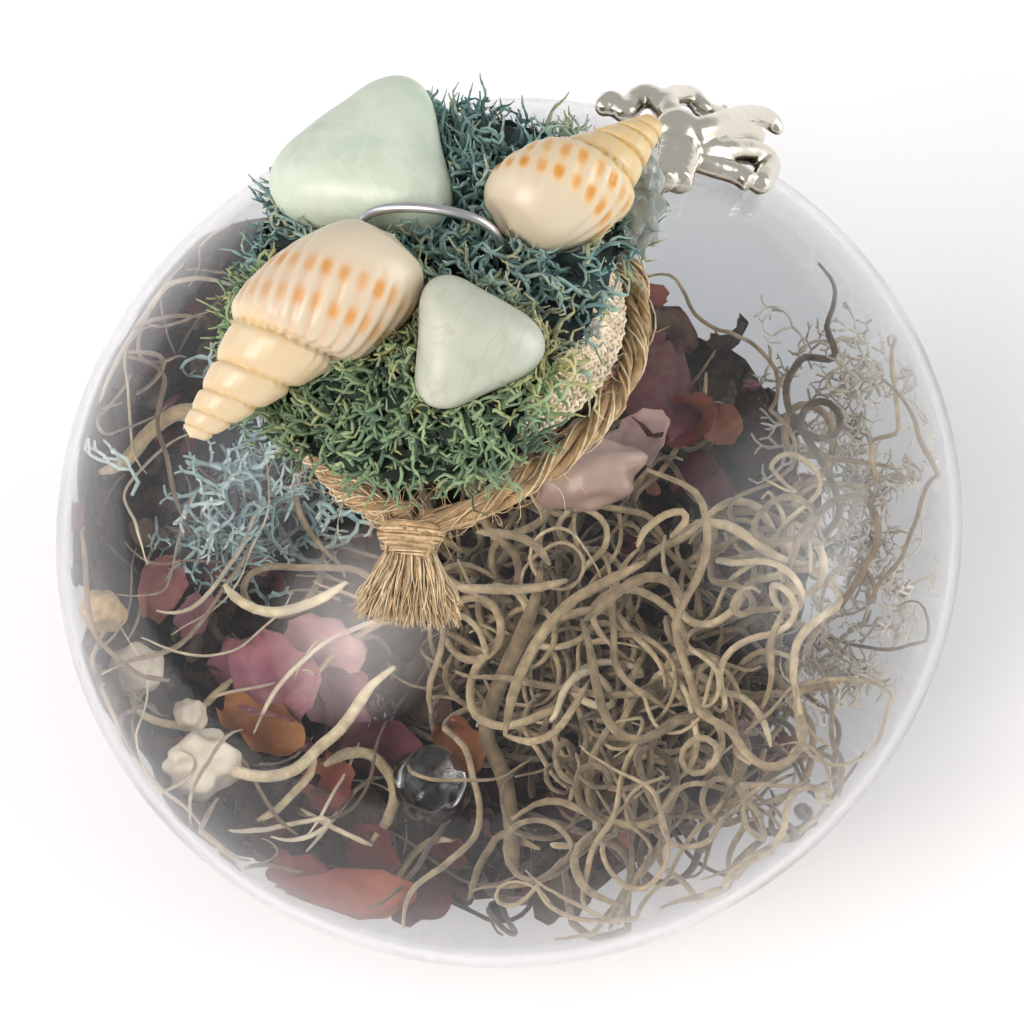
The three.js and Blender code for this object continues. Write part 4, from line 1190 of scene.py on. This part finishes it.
def moss_heap(name, node, material, slot, sprigs):
    """Sprigs all over a heap's CAD solid, and below them a dark, broken core of painted shade."""
    solid = bmesh.new()
    solid.from_mesh(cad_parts[node].data)
    bmesh.ops.triangulate(solid, faces=solid.faces[:])
    shape = new_shape()
    triangles = [([v.co / MM for v in face.verts], face.normal.copy(),
                  face.calc_area()) for face in solid.faces]
    long_edges = [edge for edge in solid.edges if edge.calc_length() > 1.2 * MM]
    bmesh.ops.subdivide_edges(solid, edges=long_edges, cuts=2, use_grid_fill=True)
    solid.normal_update()
    for vertex in solid.verts:
        place = vertex.co / MM
        depth = SHADE_CORE_DEPTH + 0.9 * noise.noise(place * 0.9) + 0.4 * noise.noise(place * 2.3)
        place = place - vertex.normal * depth
        held = bared(place)
        narrow = mix(1, min(1, SHADE_CORE_BARED_RADIUS / max(0.1, math.hypot(place.x, place.y))), held)
        height = mix(place.z, max(place.z, SEAT + 0.4), held)
        shape["corners"].append(Vector((place.x * narrow, place.y * narrow, height)))
    shape["faces"] = [tuple(vertex.index for vertex in face.verts) for face in solid.faces]
    # The core takes the darkest tints: painted shade deep in the heap
    shape["tints"] = [0.05 + 0.25 * noise.noise(corner * 0.8) for corner in shape["corners"]]
    solid.free()
    weights = [area * (1 if normal.z > -0.5 else 0.2) for _, normal, area in triangles]
    for corners, normal, _ in rng.choices(triangles, weights, k=sprigs):
        a, b = rng.random(), rng.random()
        if a + b > 1:
            a, b = 1 - a, 1 - b
        p, q, r = corners
        deep = rng.uniform(0, 1)
        root = p + (q - p) * a + (r - p) * b - normal * SHADE_CORE_DEPTH * deep
        along = Vector((rng.gauss(0, 1), rng.gauss(0, 1), rng.gauss(0, 1)))
        heading = (along - normal * along.dot(normal)).normalized() + normal * rng.uniform(0.1, 0.7)
        if bared(root) > rng.uniform(0.15, 0.6):
            continue
        trimmed = 0.6 if root.z < SEAT else 1
        # Along the line where the two colours meet, the tufts are bleached
        parting = root.x * PARTING_ACROSS[0] + root.y * PARTING_ACROSS[1] - PARTING_OFFSET
        bleached = 0.45 * math.exp(-((parting / 3.5) ** 2)) * (root.z > SEAT)
        # Tufts rooted deeper get darker tints, as painted shade, and tufts towards the right get lighter
        # ones, as painted light
        shade = mix(0.62, 0.2, deep) + rng.gauss(0, 0.1) + bleached + 0.25 * ramp(root.x, 5, 14)
        add_sprig(shape, root, heading, normal, trimmed * rng.uniform(2.6, 4.8), rng.uniform(0.15, 0.2),
                  shade, 1)
    tinted_piece(name, shape, material, slot, node)


# In both moss colours the darkest stops are painted shade, for the core and the deepest tufts
blue_moss = two_colours(
    "blue reindeer moss",
    [(0.0, "#1a2526"), (0.2, "#43605f"), (0.45, "#6f9592"), (0.7, "#97b5ab"), (0.85, "#a9ae84"),
     (1.0, "#c1bf97")],
    0.9, 2.2, 0.4, sheen=0.15,
)
green_moss = two_colours(
    "green reindeer moss",
    [(0.0, "#1a2117"), (0.2, "#48634f"), (0.45, "#77956f"), (0.7, "#9db384"), (0.85, "#aba666"),
     (1.0, "#c3bd8b")],
    0.9, 2.6, 0.5, sheen=0.15,
)
moss_heap("blue_reindeer_moss", "moss_blue", blue_moss, "blue_moss", 1450)
moss_heap("green_reindeer_moss", "moss_green", green_moss, "green_moss", 1250)


# Charm: an octopus cast in pewter and silver-plated, polished on its high parts, with its hollows
# left dark. It is glued to the shoulder of the glass.

def over_glass(u, v, lift):
    """A place that shows at a pixel, lift mm over the near side of the glass."""
    return in_ball(u, v, 1000, wall=-lift)


# Each arm is a row of (u, v, lift) marks, with its radius at the root and at the tip
CHARM_ARMS = [
    ([(676, 130, 2.4), (660, 102, 3.0), (641, 96, 2.6), (626, 112, 1.8), (611, 101, 2.2),
      (601, 112, 1.6)], 1.15, 0.95),
    ([(678, 128, 3.0), (668, 100, 3.2), (690, 96, 3.0), (704, 110, 2.4), (720, 114, 2.2),
      (725, 105, 2.4)], 1.1, 0.8),
    ([(688, 136, 3.0), (716, 126, 3.4), (746, 116, 3.4), (768, 119, 2.6), (781, 134, 1.6)], 1.3, 0.85),
    ([(690, 142, 2.2), (715, 138, 2.6), (744, 133, 2.6), (757, 140, 2.2)], 1.25, 1.1),
    ([(688, 150, 1.8), (718, 151, 2.2), (752, 152, 2.2), (768, 163, 1.7), (764, 177, 1.5),
      (757, 186, 1.4)], 1.2, 1.05),
    ([(694, 160, 1.4), (716, 167, 1.4), (738, 174, 1.4), (752, 184, 1.4)], 0.95, 0.95),
    ([(682, 140, 2.2), (684, 158, 1.9), (680, 172, 1.7), (678, 184, 1.6)], 1.35, 1.3),
    ([(672, 142, 2.2), (668, 160, 1.9), (664, 174, 1.7), (663, 184, 1.6)], 1.2, 1.2),
]
body_middle = over_glass(678, 134, 2.4)
cast = new_shape()
corners, faces = fine_skin(48, 32, lambda turn, along: body_middle + Vector((
    2.2 * math.sin(math.pi * along) * math.cos(turn),
    2.4 * math.sin(math.pi * along) * math.sin(turn),
    -2.1 * math.cos(math.pi * along),
)))
cast["corners"] += corners
cast["faces"] += [list(face) for face in faces]
for marks, thick, thin in CHARM_ARMS:
    path = smooth_path([over_glass(*mark) for mark in marks], 0.3)
    # Each arm has a row of beads along it, as suckers, and thins a little to its tip
    add_tube(cast, path, lambda share: mix(thick, thin,
                                           share) * (1 + 0.02 * math.cos(2 * math.pi * share * 7))
             * max(0.2, 1 - max(0, abs(2 * share - 1) - 0.86) ** 2 * 40), sides=20)

silver_plate = new_material("silver-plated cast pewter")
place = add_node(silver_plate, "TexCoord").outputs["Object"]
hollow = add_node(silver_plate, "AmbientOcclusion", {"Distance": 0.003})
patina = add_node(silver_plate, "ValToRGB", {"Fac": hollow.outputs["AO"]})
patina.color_ramp.elements[0].position = 0.3
patina.color_ramp.elements[0].color = linear("#40362b")
patina.color_ramp.elements[1].position = 0.9
patina.color_ramp.elements[1].color = linear("#dfd9ca")
grain = add_node(silver_plate, "TexNoise", {"Vector": place, "Scale": 900, "Detail": 3})
polish = add_node(silver_plate, "MapRange", {"Value": grain.outputs["Fac"], "To Min": 0.12, "To Max": 0.3})
cast_skin = add_node(silver_plate, "Bump", {"Height": grain.outputs["Fac"], "Distance": 0.00006})
finish_material(silver_plate, {
    "Base Color": patina.outputs["Color"], "Metallic": 1.0, "Roughness": polish.outputs[0],
    "Normal": cast_skin.outputs[0],
})
charm = new_piece("cast_charm", cast["corners"], cast["faces"], silver_plate, "charm_metal", "charm")
CAST_VOXEL = 0.19
remesh = charm.modifiers.new("melt", "REMESH")
remesh.mode = "VOXEL"
remesh.voxel_size = CAST_VOXEL * MM
remesh.use_smooth_shade = True
rounded = charm.modifiers.new("round", "SMOOTH")
rounded.factor = 0.5
rounded.iterations = 3
melted = bpy.data.meshes.new_from_object(charm.evaluated_get(bpy.context.evaluated_depsgraph_get()))
charm.modifiers.clear()
charm.data = melted


# Hot glue: clear ethylene-vinyl acetate set in rounded blobs, a little cloudy, where the shells
# and the charm are stuck on.

hot_glue = new_material("clear hot-melt glue")
place = add_node(hot_glue, "TexCoord").outputs["Object"]
ripples = add_node(hot_glue, "TexNoise", {"Vector": place, "Scale": 500, "Detail": 1})
soft_skin = add_node(hot_glue, "Bump", {"Height": ripples.outputs["Fac"], "Distance": 0.0002,
                                        "Strength": 0.5})
finish_material(hot_glue, {
    "Base Color": linear("#dde3dd"), "Roughness": 0.15, "IOR": 1.48,
    "Transmission Weight": 0.72, "Normal": soft_skin.outputs[0],
})

# (u, v, lift over the moss seat, half widths)
GLUE_BLOBS = [
    (556, 247, 0.6, (2.9, 1.4, 0.9)), (580, 243, 0.7, (1.9, 1.2, 0.9)), (640, 200, 0.4, (1.6, 3.2, 1.1)),
    (648, 172, 0.9, (1.2, 2.2, 1.0)), (640, 225, -0.6, (1.3, 2.2, 0.9)), (594, 326, 0.3, (0.5, 0.9, 0.5)),
    (352, 236, 0.4, (1.6, 1.1, 0.7)), (500, 243, 0.3, (1.5, 1.2, 0.6)),
]
for number, (u, v, lift, size) in enumerate(GLUE_BLOBS):
    direction = sight(u, v)
    centre = eye + direction * ((SEAT + lift - eye.z) / direction.z)
    corners, faces = lump(centre, size, 0.5, number, rings=16, keep=clear_of_glass)
    new_piece("hot_glue_%d" % number, corners, faces, hot_glue, "glass")


# The floor, the light and the camera. The floor is plain white and the light is soft: two
# panels at the left and one at the right, each where the glass shows its reflection.

floor_mesh = bpy.data.meshes.new("floor")
FLOOR_HALF = 3.0
floor_mesh.from_pydata([(-FLOOR_HALF, -FLOOR_HALF, 0), (FLOOR_HALF, -FLOOR_HALF, 0),
                        (FLOOR_HALF, FLOOR_HALF, 0), (-FLOOR_HALF, FLOOR_HALF, 0)], [], [(0, 1, 2, 3)])
floor = bpy.data.objects.new("floor", floor_mesh)
bpy.context.collection.objects.link(floor)
white_board = finish_material(new_material("white painted board"), {
    "Base Color": linear("#ffffff"), "Roughness": 0.9, "Specular IOR Level": 0.1,
})
floor_mesh.materials.append(white_board)


def add_panel(u, v, distance, width, height, watts, colour):
    """A soft panel of light that the near side of the glass mirrors at a pixel."""
    direction = sight(u, v)
    near = in_ball(u, v, 1000, wall=0)
    slope = near - middle
    normal = Vector((slope.x / BALL_RADIUS ** 2, slope.y / BALL_RADIUS ** 2,
                     slope.z / BALL_HALF_HEIGHT ** 2))
    mirrored = direction.reflect(normal.normalized())
    panel = bpy.data.lights.new("soft panel", "AREA")
    panel.shape = "RECTANGLE"
    panel.size = width * MM
    panel.size_y = height * MM
    panel.energy = watts
    panel.color = linear(colour)[:3]
    # A diffuser is brightest in its middle, so its mirror image on the glass has no hard edge
    panel.use_nodes = True
    nodes, links = panel.node_tree.nodes, panel.node_tree.links
    across = nodes.new("ShaderNodeNewGeometry").outputs["Parametric"]
    offset = nodes.new("ShaderNodeVectorMath")
    offset.operation = "MULTIPLY_ADD"
    offset.inputs[1].default_value = (2, 2, 0)
    offset.inputs[2].default_value = (-1, -1, 0)
    glow = nodes.new("ShaderNodeTexGradient")
    glow.gradient_type = "SPHERICAL"
    links.new(across, offset.inputs[0])
    links.new(offset.outputs[0], glow.inputs["Vector"])
    links.new(glow.outputs["Fac"], nodes["Emission"].inputs["Strength"])
    light = bpy.data.objects.new("soft_panel", panel)
    light.matrix_world = (-mirrored).to_track_quat("-Z", "Y").to_matrix().to_4x4()
    light.location = (near + mirrored * distance) * MM
    bpy.context.collection.objects.link(light)
    return light


PANEL_DISTANCE = 700
add_panel(355, 630, PANEL_DISTANCE, 560, 720, 15, "#fff4ef")
add_panel(240, 480, PANEL_DISTANCE, 620, 720, 4, "#eef6ff")
add_panel(820, 550, PANEL_DISTANCE, 800, 1200, 18.5, "#ffffff")

ROOM_LIGHT = 0.55
world = bpy.data.worlds.new("studio")
world.use_nodes = True
world.node_tree.nodes["Background"].inputs["Color"].default_value = linear("#f4f5f7")
world.node_tree.nodes["Background"].inputs["Strength"].default_value = ROOM_LIGHT
bpy.context.scene.world = world
bpy.context.scene.view_settings.view_transform = "Standard"

CAMERA_LENS = 159.33
CAMERA_RIGHT = 0.40
CAMERA_UP = 1.28
camera_data = bpy.data.cameras.new("camera")
camera_data.sensor_width = 36
camera_data.lens = CAMERA_LENS
camera = bpy.data.objects.new("camera", camera_data)
seat = (eye + view_right * CAMERA_RIGHT + view_up * CAMERA_UP) * MM
turn = Matrix((view_right, view_up, to_viewer)).transposed()
camera.matrix_world = Matrix.Translation(seat) @ turn.to_4x4()
bpy.context.collection.objects.link(camera)
bpy.context.scene.camera = camera
